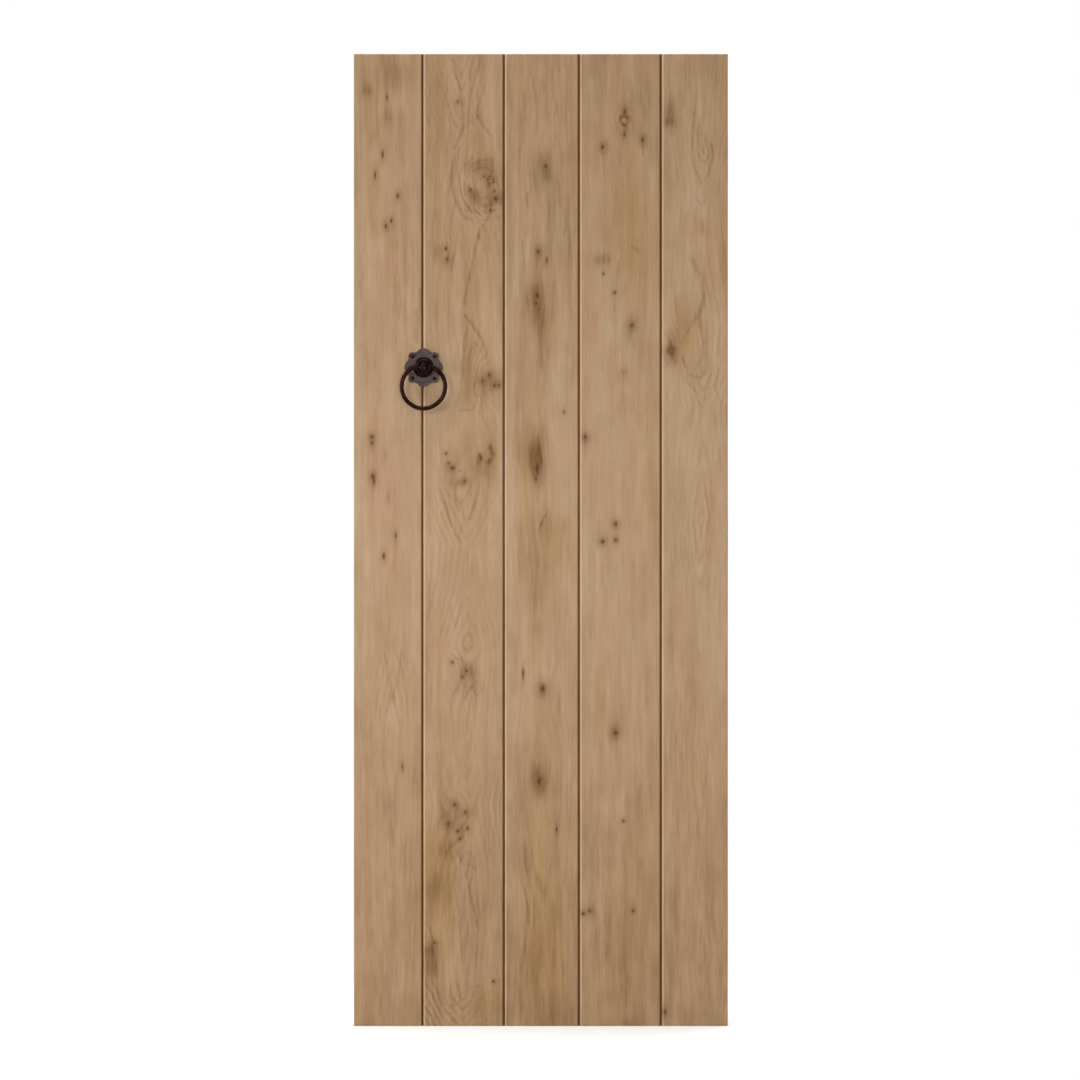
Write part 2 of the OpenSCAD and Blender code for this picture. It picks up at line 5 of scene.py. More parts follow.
import bpy
import numpy as np
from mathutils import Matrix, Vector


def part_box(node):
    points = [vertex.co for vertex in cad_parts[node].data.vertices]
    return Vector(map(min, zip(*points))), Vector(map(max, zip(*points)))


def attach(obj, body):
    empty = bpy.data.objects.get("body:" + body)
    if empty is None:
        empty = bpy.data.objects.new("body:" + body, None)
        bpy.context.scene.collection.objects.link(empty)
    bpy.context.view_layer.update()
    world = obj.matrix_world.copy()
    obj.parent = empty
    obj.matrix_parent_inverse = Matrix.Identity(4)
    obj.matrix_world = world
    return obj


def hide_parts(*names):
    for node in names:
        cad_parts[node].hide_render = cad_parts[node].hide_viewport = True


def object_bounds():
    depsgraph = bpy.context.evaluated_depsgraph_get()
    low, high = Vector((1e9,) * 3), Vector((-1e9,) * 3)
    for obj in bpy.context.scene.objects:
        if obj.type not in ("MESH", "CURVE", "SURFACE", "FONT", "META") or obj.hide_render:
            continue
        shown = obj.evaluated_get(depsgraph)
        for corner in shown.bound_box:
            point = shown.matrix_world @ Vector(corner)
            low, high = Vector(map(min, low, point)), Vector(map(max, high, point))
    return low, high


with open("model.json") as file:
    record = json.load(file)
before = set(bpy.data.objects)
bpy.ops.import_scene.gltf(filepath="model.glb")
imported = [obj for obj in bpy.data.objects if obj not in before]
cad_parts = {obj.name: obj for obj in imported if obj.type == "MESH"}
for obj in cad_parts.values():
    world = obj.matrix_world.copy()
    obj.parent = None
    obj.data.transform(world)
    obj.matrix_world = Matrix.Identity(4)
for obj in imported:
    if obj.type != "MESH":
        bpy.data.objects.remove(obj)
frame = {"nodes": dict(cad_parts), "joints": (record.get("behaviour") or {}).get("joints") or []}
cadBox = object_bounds()
mm = 0.001
jointOf = {j["name"]: j for j in frame["joints"]}


# ---- small tools ----

def toLinear(hexColour):
    # sRGB hex to linear red, green, blue and alpha
    parts = [int(hexColour[i:i + 2], 16) / 255 for i in (1, 3, 5)]
    return [c / 12.92 if c <= 0.04045 else ((c + 0.055) / 1.055) ** 2.4 for c in parts] + [1.0]


def addNode(tree, kind, inputs=None, stops=None, **settings):
    # one node: settings are its own properties, inputs are numbers, colours or another node's socket
    node = tree.nodes.new(kind)
    for name, value in settings.items():
        setattr(node, name, value)
    for key, value in (inputs or {}).items():
        if isinstance(value, bpy.types.NodeSocket):
            tree.links.new(value, node.inputs[key])
        else:
            node.inputs[key].default_value = value
    if stops:
        ramp = node.color_ramp
        while len(ramp.elements) < len(stops):
            ramp.elements.new(1)
        for element, (place, colour) in zip(ramp.elements, stops):
            element.position = place
            element.color = toLinear(colour) if isinstance(colour, str) else [colour] * 3 + [1.0]
    return node


def newMaterial(name):
    material = bpy.data.materials.new(name)
    material.use_nodes = True
    tree = material.node_tree
    tree.nodes.clear()
    shader = addNode(tree, "ShaderNodeBsdfPrincipled")
    addNode(tree, "ShaderNodeOutputMaterial", {"Surface": shader.outputs[0]})
    return material, tree, shader


def softNoise(u, v, seed):
    # random numbers on a unit lattice, joined by 3t^2 - 2t^3 along both parameters; from -1 to 1
    table = np.random.default_rng(seed).random((64, 64))
    iu, iv = np.floor(u).astype(int), np.floor(v).astype(int)
    fu, fv = u - iu, v - iv
    fu, fv = fu * fu * (3 - 2 * fu), fv * fv * (3 - 2 * fv)
    a, b = table[iu % 64, iv % 64], table[(iu + 1) % 64, iv % 64]
    c, d = table[iu % 64, (iv + 1) % 64], table[(iu + 1) % 64, (iv + 1) % 64]
    return 2 * ((a * (1 - fu) + b * fu) * (1 - fv) + (c * (1 - fu) + d * fu) * fv) - 1


def sheetMesh(name, points, closedRows=False, capped=False):
    # points[row, column] in metres; each row is a closed loop, and rows join end to end when closedRows
    rows, columns = points.shape[:2]
    index = np.arange(rows * columns).reshape(rows, columns)
    low = index if closedRows else index[:-1]
    high = np.roll(index, -1, 0) if closedRows else index[1:]
    faces = np.stack([low, np.roll(low, -1, 1), np.roll(high, -1, 1), high], 2).reshape(-1, 4).tolist()
    if capped:
        faces += [index[0][::-1].tolist(), index[-1].tolist()]
    mesh = bpy.data.meshes.new(name)
    mesh.from_pydata(points.reshape(-1, 3).tolist(), [], faces)
    mesh.polygons.foreach_set("use_smooth", [True] * len(mesh.polygons))
    mesh.set_sharp_from_angle(angle=math.radians(28))
    piece = bpy.data.objects.new(name, mesh)
    bpy.context.scene.collection.objects.link(piece)
    return piece


def boxOf(node):
    # a node's lowest and highest corners in mm
    return [np.array(corner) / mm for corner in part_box(node)]


def setVectors(piece, name, values):
    # one vector for each point of the mesh, which the material reads as an attribute
    layer = piece.data.attributes.new(name, "FLOAT_VECTOR", "POINT")
    layer.data.foreach_set("vector", np.ascontiguousarray(values, np.float32).ravel())


# ---- oak boards ----

# how every board is cut, in mm
boardCut = {
    "joint": 8.0,      # length of the tongue beyond its shoulder
    "tongue": 6.0,     # thickness of the tongue
    "groove": 9.0,     # depth of the groove
    "grooveGap": 6.3,  # width of the groove
    "chamfer": 3.4,    # V joint, on each side
    "ease": 1.5,       # chamfer on the leaf's outer edges
    "endEase": 1.0,    # chamfer round the sawn ends
    "faceStep": 2.2,   # spacing of the mesh across the face
    "backStep": 8.0,   # spacing across the back
    "rowStep": 3.0,    # spacing along the board
    "arris": 0.4,      # the joint's sharp edges at the back
    "knotDip": 0.5,    # how far the face sinks over a knot
    "wave": 0.15,      # slow waves left by the plane
    "paintedArrisHighlight": 6,       # how much paler the joint's edge that faces the light is painted: a painted highlight
}

# x is from the leaf's left edge and z from its bottom edge, in mm.
# knots: x, z, radius, length over width, how far round it the grain bends; a radius of 0 only bends it.
# stains: x, z, half width, half length, strength. tints: the same, plus is olive and minus is pink.
# lights: the same, plus is paler. flames: the same, where the rings show clearly.
# strokes: half width, strength and the points of a single dark line of the figure.
# stem: height and depth of the stem's middle line behind the face: where the depth grows downwards
# the rings show as V shapes that point down. vForm: 1 gives sharp V shapes and 2 round ones.
boards = [
    {"node": "board_1", "seed": 11, "pith": 78, "stem": [(0, 40), (600, 16), (760, 40), (1981, 60)],
     "ringGap": 9.0, "sway": 5, "swirl": 0, "light": 0.02, "vForm": 1.5, "plain": 0.14,
     "flames": [(79, 690, 26, 60, .5), (105, 260, 24, 150, .25), (95, 1480, 14, 90, .4)],
     "knots": [(67, 1894, 1.9, 2.6, 0), (59, 1775, 2.2, 3.8, 0), (44, 1733, 2.2, 3.8, 0),
       (89, 1692, 2.8, 1.8, 7), (77, 1641, 2.6, 1.9, 6), (66, 1630, 2.6, 1.8, 0), (36, 1199, 3.6, 1.3, 6),
       (36, 1187, 2.4, 2.4, 0), (40, 1120, 4.4, 1.4, 8), (41, 1109, 2.6, 2.2, 0), (85, 999, 2, 3.2, 0),
       (62, 958, 2.8, 2.2, 5), (98, 528, 1.8, 3, 0)],
     "stains": [(28, 1906, 8, 10, .6), (69, 1852, 6, 12, .45), (42, 1815, 5, 10, .3),
       (84, 1937, 30, 24, .4), (62, 1162, 6, 10, .3), (69, 1077, 6, 12, .3), (89, 1688, 7, 16, .3),
       (72, 1634, 12, 16, .3), (98, 528, 6, 14, .2), (38, 1193, 6, 16, .3), (40, 1113, 6, 14, .3)],
     "tints": [(30, 1880, 12, 60, .9), (50, 1690, 26, 50, .9), (100, 1930, 30, 40, .5),
       (80, 1790, 26, 90, -.7), (16, 1100, 6, 260, .8), (38, 1180, 9, 200, -.8), (95, 1120, 30, 160, -.4),
       (70, 700, 40, 260, -.3), (30, 500, 14, 300, .4), (120, 300, 20, 220, .3), (80, 1560, 16, 80, -.6),
       (20, 1500, 12, 120, .4)],
     "lights": [(90, 1890, 20, 14, .8), (30, 1600, 20, 60, .4), (20, 1000, 16, 400, .3),
       (110, 900, 30, 200, .4)],
     "strokes": [(4, .36, [(137, 1500), (133, 1440), (129, 1396)]),
       (2.9, .22, [(125, 1460), (123, 1400)]), (1.8, .22, [(62, 760), (74, 700), (80, 668)]),
       (1.8, .22, [(98, 760), (88, 705), (81, 668)]),
       (1.6, .18, [(89, 1560), (84, 1520), (96, 1480), (92, 1440)])]},
    {"node": "board_2", "seed": 23, "pith": 224, "ringGap": 11.0, "sway": 10, "swirl": 6,
     "light": 0.0, "vForm": 1.3, "plain": 0.2,
     "flames": [(232, 1900, 30, 60, .45), (250, 1700, 34, 50, .5), (195, 1565, 22, 50, .4),
       (242, 1360, 24, 60, .5), (212, 1050, 34, 60, .8), (208, 830, 26, 50, .5), (226, 710, 26, 46, .9),
       (216, 420, 40, 54, .6), (190, 40, 34, 50, .9), (245, 270, 20, 80, .4)],
     "stem": [(0, 60), (60, 24), (200, 12), (330, 30), (450, 50), (600, 22), (780, 10), (830, 26),
       (900, 44), (985, 62), (1095, 10), (1190, 8), (1290, 30), (1420, 12), (1560, 26), (1700, 44),
       (1815, 66), (1981, 6)],
     "knots": [(211, 1885, 2.2, 1.6, 6), (258, 1709, 0, 1, 34), (279, 1731, 2.5, 1, 0),
       (285, 1726, 2.5, 1.2, 0), (284, 1718, 2.5, 1, 0), (275, 1717, 2.5, 1, 0), (273, 1726, 2.5, 1.2, 0),
       (264, 1732, 2.2, 1.1, 0), (238, 1703, 3, 1.3, 0), (287, 1700, 2.4, 1.5, 0),
       (288, 1686, 5.5, 1.1, 0), (278, 1662, 3, 1.8, 0), (188, 1583, 3.2, 1.3, 9),
       (189, 1562, 2.4, 1.6, 0), (279, 1316, 0, 1, 24), (276, 1327, 3, 1.3, 0), (263, 1315, 3, 1.2, 0),
       (286, 1306, 3, 1.6, 0), (296, 1304, 2.8, 1.4, 0), (188, 1166, 2.8, 1, 6), (222, 1146, 0, 1, 34),
       (201, 1138, 5, .9, 0), (192, 1146, 2.6, 1, 0), (259, 1158, 4.2, 1.7, 0), (278, 1170, 0, 1, 22),
       (277, 1177, 2.2, 1, 0), (281, 1166, 2, 1, 0), (276, 1152, 2.4, 1, 0), (256, 1165, 1.8, 1, 0),
       (217, 1132, 1.6, 1, 0), (226, 1109, 3, .9, 0), (202, 741, 2.6, 1, 6), (221, 712, 2.6, 1.2, 26),
       (229, 723, 3.2, 1.2, 0), (213, 415, 0, 1, 32), (205, 450, 4, 1.1, 0), (228, 435, 3.2, 1.4, 0),
       (192, 413, 4.4, 1.1, 0), (213, 398, 4, 1, 0), (232, 404, 2.8, 1.6, 0), (217, 381, 3.4, 1.1, 0),
       (163, 168, 3.6, 1.1, 6), (285, 91, 3, 1.2, 12)],
     "stains": [(256, 1754, 20, 10, .55), (279, 1728, 12, 16, .4), (250, 1694, 11, 10, .6),
       (286, 1688, 12, 14, .5), (171, 1579, 6, 12, .6), (190, 1558, 10, 10, .4), (236, 1348, 7, 52, .25),
       (280, 1314, 20, 20, .55), (199, 1140, 11, 12, .4), (213, 1110, 17, 9, .5), (264, 1131, 15, 12, .5),
       (280, 1165, 9, 22, .3), (222, 1165, 20, 14, .2), (222, 722, 14, 20, .3), (246, 690, 12, 22, .25),
       (203, 425, 18, 26, .42), (186, 358, 15, 15, .6), (165, 285, 13, 22, .6), (155, 154, 10, 9, .7),
       (160, 124, 14, 24, .8), (255, 1150, 8, 8, .3)],
     "tints": [(165, 1700, 14, 260, .5), (205, 1560, 30, 80, .6), (255, 1500, 24, 160, .3),
       (240, 1250, 40, 160, .2), (200, 1100, 60, 160, .3), (250, 820, 40, 220, .2),
       (200, 380, 50, 120, .6), (170, 250, 26, 120, .8), (265, 46, 36, 26, 1.2), (160, 900, 16, 300, -.3),
       (285, 1160, 12, 40, 1.1), (288, 1735, 14, 20, .8), (250, 220, 30, 80, -.6)],
     "lights": [(279, 1723, 3, 3, 2.0), (222, 1720, 16, 30, .7), (262, 1695, 9, 16, 1.0),
       (293, 1668, 8, 10, 1.2), (232, 1160, 24, 16, .6), (245, 388, 16, 22, 1.1), (160, 440, 10, 60, .7),
       (200, 118, 16, 26, .9), (215, 1050, 14, 40, .6), (190, 1400, 14, 120, .5), (228, 1620, 12, 18, .5),
       (250, 560, 24, 60, .3)],
     "strokes": [
       (2.5, .43, [(200, 1970), (212, 1925), (221, 1880), (222, 1845), (217, 1816), (204, 1788)]),
       (2.1, .32, [(240, 1908), (234, 1872), (232, 1843), (242, 1838), (253, 1853), (251, 1905)]),
       (2.3, .36, [(253, 1853), (266, 1832), (279, 1811)]),
       (1.8, .22, [(190, 1880), (196, 1840), (197, 1798)]),
       (2.1, .22, [(262, 1974), (248, 1948), (244, 1920)]),
       (2.3, .32, [(217, 1790), (201, 1763), (197, 1726), (204, 1688), (221, 1654), (238, 1641)]),
       (2.1, .29, [(240, 1770), (218, 1750), (213, 1722), (218, 1692), (235, 1665), (258, 1655)]),
       (4, .38, [(240, 1699), (247, 1686), (258, 1676), (270, 1671), (284, 1674)]),
       (1.6, .4, [(239, 1690), (246, 1676), (258, 1664), (274, 1658), (290, 1664)]),
       (1.6, .35, [(233, 1712), (235, 1690), (244, 1668), (262, 1650)]),
       (1.6, .3, [(226, 1716), (228, 1692), (238, 1662), (254, 1646)]),
       (1.6, .3, [(230, 1728), (243, 1742), (262, 1748), (280, 1744)]),
       (1.6, .3, [(226, 1738), (240, 1756), (262, 1764), (284, 1768)]),
       (1.6, .3, [(252, 1642), (262, 1630), (270, 1612), (266, 1596)]),
       (2.3, .36, [(274, 1650), (260, 1624), (255, 1603)]),
       (2.1, .25, [(296, 1650), (280, 1640), (262, 1642)]),
       (2.5, .43, [(256, 1625), (243, 1560), (229, 1500), (224, 1470)]),
       (2.8, .43, [(226, 1447), (240, 1430), (255, 1408), (268, 1380), (272, 1350)]),
       (2.1, .25, [(232, 1330), (236, 1370), (246, 1392), (258, 1385), (264, 1360)]),
       (2.1, .25, [(214, 1280), (222, 1330), (224, 1400), (232, 1430)]),
       (2.3, .32, [(216, 1254), (242, 1256), (250, 1279), (246, 1304), (250, 1335)]),
       (1.8, .22, [(262, 1290), (256, 1250), (270, 1226), (280, 1200)]),
       (3, .5, [(276, 1183), (284, 1169), (282, 1155), (274, 1146)]),
       (2.1, .36, [(174, 1093), (188, 1063), (198, 1020)]),
       (2.1, .36, [(257, 1109), (246, 1074), (236, 1031)]),
       (1.8, .32, [(186, 1095), (205, 1070), (212, 1050), (217, 1064), (226, 1074), (239, 1103)]),
       (1.8, .25, [(206, 1020), (213, 985), (219, 1020)]),
       (1.8, .22, [(196, 860), (205, 816), (216, 858)]),
       (1.8, .25, [(206, 752), (240, 735), (246, 700), (232, 680)]),
       (1.6, .22, [(238, 690), (250, 672), (262, 690)]),
       (1.8, .29, [(213, 354), (221, 328), (240, 328), (247, 318), (233, 284), (244, 238), (252, 200)]),
       (1.8, .22, [(205, 330), (206, 280), (214, 230)]), (1.8, .32, [(148, 210), (160, 180), (170, 168)]),
       (2.1, .36, [(148, 84), (163, 58), (178, 24), (190, 30), (202, 44)]),
       (1.8, .29, [(160, 88), (172, 64), (184, 44)]),
       (2.1, .32, [(262, 84), (236, 76), (218, 66), (212, 48)]),
       (1.8, .25, [(280, 70), (262, 64), (246, 30)])]},
    {"node": "board_3", "seed": 37, "pith": 388, "ringGap": 11.0, "sway": 10, "swirl": 2.5,
     "light": 0.0, "vForm": 1.5, "plain": 0.24,
     "flames": [(391, 1740, 22, 60, .3), (372, 1480, 20, 60, .3), (381, 1020, 22, 40, .4),
       (365, 240, 24, 120, .4)],
     "stem": [(0, 30), (240, 46), (420, 20), (520, 14), (640, 34), (900, 26), (1020, 12), (1150, 10),
       (1260, 22), (1440, 12), (1520, 10), (1640, 26), (1760, 20), (1981, 44)],
     "knots": [(391, 1751, 3.6, 1.9, 16), (376, 1579, 3.2, 1.8, 8), (393, 1559, 2.4, 3, 0),
       (374, 1487, 5, 1.7, 18), (371, 1472, 3.2, 2.2, 0), (429, 1252, 1.6, 1.4, 5),
       (374, 1138, 5, 3.4, 14), (371, 1116, 2.6, 3, 0), (346, 718, 2.2, 5, 6), (384, 687, 5, 1.3, 12),
       (378, 500, 6, 2, 22), (413, 401, 2, 4, 0)],
     "stains": [(391, 1750, 16, 34, .5), (400, 1640, 5, 44, .5), (378, 1575, 10, 22, .35),
       (374, 1484, 14, 34, .75), (381, 1431, 8, 26, .45), (382, 1380, 7, 90, .4), (373, 1150, 13, 34, .8),
       (372, 1185, 14, 30, .4), (383, 1025, 14, 18, .35), (402, 1010, 16, 16, .15),
       (372, 920, 16, 60, .4), (384, 685, 9, 18, .4), (377, 500, 14, 22, .65), (396, 22, 26, 26, .4),
       (335, 1180, 6, 60, .25), (440, 1560, 5, 120, .25), (345, 1420, 6, 200, .2), (429, 1252, 7, 10, .3),
       (350, 340, 8, 50, .35), (360, 150, 12, 40, .35)],
     "tints": [(330, 1900, 30, 60, .5), (360, 1150, 20, 80, 1.1), (400, 1440, 30, 100, .5),
       (390, 970, 34, 90, 1.2), (430, 1750, 30, 120, -.4), (330, 1050, 14, 300, -.5),
       (435, 600, 16, 300, -.4), (400, 320, 30, 160, 1.1), (360, 300, 24, 160, .7),
       (390, 120, 50, 90, 1.1)],
     "lights": [(325, 1000, 14, 400, .3), (430, 1100, 24, 200, .3), (415, 1980, 40, 60, -.4),
       (340, 700, 16, 90, .4)],
     "strokes": [(1.8, .29, [(347, 380), (349, 340), (353, 310)]),
       (1.8, .29, [(349, 286), (352, 240), (356, 206)]), (1.7, .25, [(366, 250), (368, 215), (362, 190)]),
       (1.6, .25, [(396, 1052), (386, 1030)]), (1.6, .25, [(390, 1040), (380, 1018)]),
       (1.6, .25, [(384, 1028), (376, 1008)]), (1.8, .25, [(344, 1900), (350, 1840), (346, 1800)]),
       (1.8, .25, [(366, 1930), (370, 1880)]), (1.8, .29, [(352, 1700), (354, 1665)]),
       (1.8, .29, [(418, 1720), (420, 1670)]), (1.7, .25, [(336, 1790), (338, 1760)]),
       (1.7, .25, [(408, 1860), (410, 1810)]), (1.7, .25, [(430, 1660), (428, 1610)]),
       (1.7, .22, [(344, 1600), (346, 1540)])]},
    {"node": "board_4", "seed": 53, "pith": 250, "stem": [(0, 70), (1981, 110)],
     "ringGap": 6.5, "sway": 8, "swirl": 0, "light": 0.01, "vForm": 2.0, "plain": 0.1,
     "flames": [(551, 1845, 14, 30, .5), (566, 1427, 14, 40, .3)],
     "knots": [(551, 1862, 2.6, 2.4, 22), (551, 1818, 2.2, 3.4, 0), (545, 1850, 1.7, 1.4, 0),
       (557, 1850, 1.7, 1.4, 0), (550, 1837, 2, .9, 0), (589, 1806, 3.6, 1.4, 7),
       (507, 1791, 3.8, 1.2, 7), (510, 1533, 2.2, 1.4, 5), (531, 1495, 3.2, 1.3, 7),
       (566, 1428, 3.4, 1.1, 14), (471, 1201, 3.8, 1.1, 10), (533, 1024, 3.6, 1.1, 8),
       (508, 988, 3.8, 1, 8), (534, 991, 3.2, 1.1, 6), (533, 597, 5.4, 1.05, 9), (550, 418, 2.8, 1.2, 6),
       (467, 229, 4, 1.1, 7), (480, 236, 3.2, .9, 0), (568, 236, 3.4, 1.2, 7)],
     "stains": [(551, 1845, 12, 20, .4), (507, 1562, 13, 10, .75), (564, 1422, 10, 20, .55),
       (549, 1330, 9, 12, .3), (473, 1196, 7, 14, .5), (533, 1024, 7, 10, .35), (508, 988, 8, 12, .4),
       (534, 991, 6, 10, .3), (533, 597, 8, 14, .45), (481, 235, 7, 12, .5), (559, 7, 20, 10, .3),
       (589, 1806, 7, 14, .3), (507, 1786, 7, 16, .35)],
     "tints": [(550, 1640, 50, 60, 1.1), (570, 1560, 34, 60, .7), (610, 1300, 14, 300, .5),
       (480, 1300, 16, 300, -.5), (545, 1000, 40, 200, -.3), (600, 900, 20, 240, .6),
       (540, 300, 40, 240, .4), (520, 100, 50, 120, .5)],
     "lights": [(551, 1845, 4, 5, 2.0), (480, 1100, 20, 400, .3), (600, 1900, 30, 60, -.3),
       (520, 1930, 40, 40, -.3)],
     "strokes": [
       (2.1, .65, [(551, 1856), (558, 1850), (559, 1842), (552, 1835), (544, 1841), (543, 1850),
                    (551, 1856)]), (1.6, .29, [(508, 1780), (509, 1735)]),
       (1.6, .25, [(589, 1798), (589, 1775)]), (1.8, .32, [(531, 1488), (532, 1455)]),
       (2.1, .29, [(566, 1588), (575, 1584), (582, 1572)]),
       (1.7, .25, [(540, 1560), (537, 1520), (533, 1500)]),
       (1.7, .22, [(545, 1340), (549, 1326), (555, 1338)])]},
    {"node": "board_5", "seed": 71, "pith": 707, "ringGap": 10.0, "sway": 6, "swirl": 1,
     "light": 0.035, "vForm": 1.35, "plain": 0.2,
     "flames": [(708, 1765, 24, 80, .25), (715, 1440, 20, 80, .4), (707, 1295, 24, 50, .6),
       (707, 1040, 26, 80, .35), (650, 1375, 16, 36, .6), (700, 600, 26, 120, .2)],
     "stem": [(0, 38), (150, 14), (320, 26), (560, 12), (720, 30), (900, 26), (1034, 5), (1150, 20),
       (1262, 34), (1335, 12), (1450, 8), (1560, 24), (1700, 44), (1830, 14), (1981, 10)],
     "knots": [(643, 1376, 3, .9, 24), (651, 1380, 1.8, 1, 0), (634, 27, 2.8, 2, 0)],
     "stains": [(644, 1862, 10, 22, .65), (645, 1842, 9, 7, .5), (645, 1374, 12, 12, .7),
       (652, 1398, 13, 20, .5), (652, 1354, 12, 12, .35), (634, 27, 10, 16, .35),
       (672, 1440, 14, 24, .15), (645, 1000, 8, 200, .15), (715, 300, 14, 160, .15),
       (712, 1624, 8, 12, .3)],
     "tints": [(676, 1440, 20, 50, .9), (684, 1392, 16, 30, .8), (650, 1800, 22, 80, .3),
       (735, 1100, 14, 400, -.4), (650, 700, 20, 300, -.3), (755, 1200, 5, 500, .4),
       (700, 1930, 50, 60, .4), (706, 1628, 10, 12, -1.0)],
     "lights": [(690, 1385, 10, 26, .7), (720, 1600, 30, 200, .3), (700, 1950, 60, 40, -.4),
       (730, 900, 20, 300, .2)],
     "strokes": [
       (2.1, .36, [(693, 1863), (689, 1795), (695, 1745), (707, 1716), (719, 1733), (732, 1773),
                    (728, 1797)]),
       (1.8, .29, [(704, 1840), (698, 1795), (704, 1764), (715, 1758), (724, 1778), (716, 1812)]),
       (1.8, .25, [(708, 1820), (706, 1790), (714, 1775)]),
       (1.8, .25, [(698, 1685), (707, 1674), (715, 1683)]),
       (4.2, .45, [(687, 1564), (698, 1539), (710, 1519), (712, 1495), (710, 1470), (701, 1448)]),
       (2.4, .25, [(698, 1446), (684, 1423), (667, 1390)]),
       (2.1, .29, [(701, 1440), (712, 1395), (707, 1356), (693, 1339)]),
       (2.1, .29, [(670, 1361), (684, 1328), (707, 1322), (715, 1333)]),
       (2.1, .29, [(684, 1308), (712, 1274), (724, 1300)]),
       (1.8, .22, [(740, 1480), (746, 1420), (740, 1370)]),
       (1.8, .22, [(744, 1340), (736, 1300), (748, 1270)]),
       (1.6, .18, [(694, 628), (692, 580), (694, 538)]),
       (1.6, .18, [(694, 1080), (688, 1030), (700, 980)]),
       (1.6, .18, [(716, 1100), (724, 1040), (714, 985)])]},
]


# planed and oiled oak, from the darkest streak to the palest
oakColours = ("#6c5239", "#886c50", "#9d8061", "#ab8f72", "#b89d81")


def spots(shapes, x, z):
    # sum of long soft spots: strength * exp(-(dx / wide)^2 / 2 - (dz / long)^2 / 2)
    total = np.zeros_like(x)
    for sx, sz, wide, long, strength in shapes:
        total = total + strength * np.exp(-0.5 * (((x - sx) / wide) ** 2 + ((z - sz) / long) ** 2))
    return total


def strokeMark(strokes, x, z):
    # strength * exp(-(distance to the line / half width)^2 / 2); each line's own strongest segment counts
    total = np.zeros_like(x)
    for wide, strength, line in strokes:
        best = np.zeros_like(x)
        for (ax, az), (bx, bz) in zip(line, line[1:]):
            runX, runZ = bx - ax, bz - az
            share = np.clip(((x - ax) * runX + (z - az) * runZ) / (runX ** 2 + runZ ** 2), 0, 1)
            away = np.hypot(x - ax - share * runX, z - az - share * runZ)
            best = np.maximum(best, np.exp(-0.5 * (away / wide) ** 2))
        total = total + strength * best
    return total


def figureOf(board, x, y, z):
    # Returns three vectors for points in mm: (fibre, z, ring), (knot, force, 0) and (stain, tint, light).
    # fibre: x with a slow sway, pushed apart beside each knot by dx * exp(-distance^2).
    # ring: distance from the stem, (|fibre - pith|^v + depth(z)^v)^(1/v), raised in a soft hill on each knot.
    # knot: smallest distance over radius of all knots. force: how clearly the rings show.
    # light: slow noise, the spots, a pale line beside each stroke, a painted pool of light at mid height and
    # painted shade at the foot.
    seed = board["seed"]
    fibre = x + board["sway"] * softNoise(x / 900, z / 420, seed) + 1.3 * softNoise(x / 45, z / 150, seed + 1)
    heights, depths = np.array(board["stem"], float).T
    depth = np.interp(z, heights, depths)
    hill = np.zeros_like(x)
    turmoil = np.full_like(x, 0.12)
    knot = np.full_like(x, 5.0)
    stain = np.zeros_like(x)
    faceX = x[0][y[0] == y[0].min()]
    for kx, kz, radius, length, bend in board["knots"]:
        dx = x - faceX[np.abs(faceX - kx).argmin()]  # a knot's middle is put on the nearest point of the mesh
        dz = z - z[np.abs(z[:, 0] - kz).argmin(), 0]
        if radius:
            away = np.hypot(dx / radius, dz / (radius * length))
            knot = np.minimum(knot, away)
            stain = np.maximum(stain, 0.4 * np.exp(-0.5 * (away / 1.8) ** 2))
        if bend:
            fibre = fibre - 0.62 * dx * np.exp(-0.5 * ((dx / bend) ** 2 + (dz / (2.1 * bend)) ** 2))
            near = np.exp(-0.5 * ((dx / bend) ** 2 + (dz / (1.5 * bend)) ** 2))
            hill = hill + 0.8 * bend * near
            turmoil = turmoil + near
    depth = np.abs(depth + 0.9 * (y - y.min()) + 5 * softNoise(x / 60, z / 110, seed + 2)) + 0.5
    form = board["vForm"]
    ring = (np.abs(fibre - board["pith"]) ** form + depth ** form) ** (1 / form) + hill
    ring = ring + board["swirl"] * np.clip(turmoil, 0, 1) * softNoise(x / 16, z / 24, seed + 3)
    ring = ring + 1.4 * softNoise(x / 9, z / 34, seed + 4)
    force = board["plain"] + spots(board["flames"], x, z)
    force = force * (1 + 0.6 * softNoise(x / 26, z / 90, seed + 9))
    stain = stain + spots(board["stains"], x, z) * (0.85 + 0.3 * softNoise(fibre / 4, z / 40, seed + 5))
    shiftX, shiftZ = 1.2 * softNoise(x / 14, z / 14, seed + 12), 2.5 * softNoise(x / 14, z / 18, seed + 13)
    patchy = 1 + 0.5 * softNoise(x / 7, z / 12, seed + 14)
    stain = stain + patchy * strokeMark(board["strokes"], x + shiftX, z + shiftZ)
    tint = 0.35 * softNoise(x / 38, z / 260, seed + 6) + 0.25 * softNoise(x / 12, z / 160, seed + 7)
    tint = tint + 0.8 * spots(board["tints"], x, z)
    light = 0.6 * softNoise(x / 34, z / 90, seed + 10) + 0.5 * softNoise(x / 11, z / 30, seed + 11)
    light = light + spots(board["lights"], x, z)
    light = light + 2.2 * patchy * strokeMark(board["strokes"], x + shiftX + 3.5, z + shiftZ + 2.5)
    # painted light: a soft pool of light at mid height, and painted shade at the foot of the leaf
    light = light + 1.5 * np.exp(-0.5 * ((z - 1080) / 380) ** 2) - 0.8 * np.exp(-0.5 * (z / 330) ** 2)
    return [np.stack(v, -1) for v in ((fibre, z, ring), (knot, force, 0 * x), (stain, tint, light))]


def spaced(start, stop, step):
    # evenly spaced values that include both ends
    return np.linspace(start, stop, max(2, int(round(abs(stop - start) / step)) + 1))


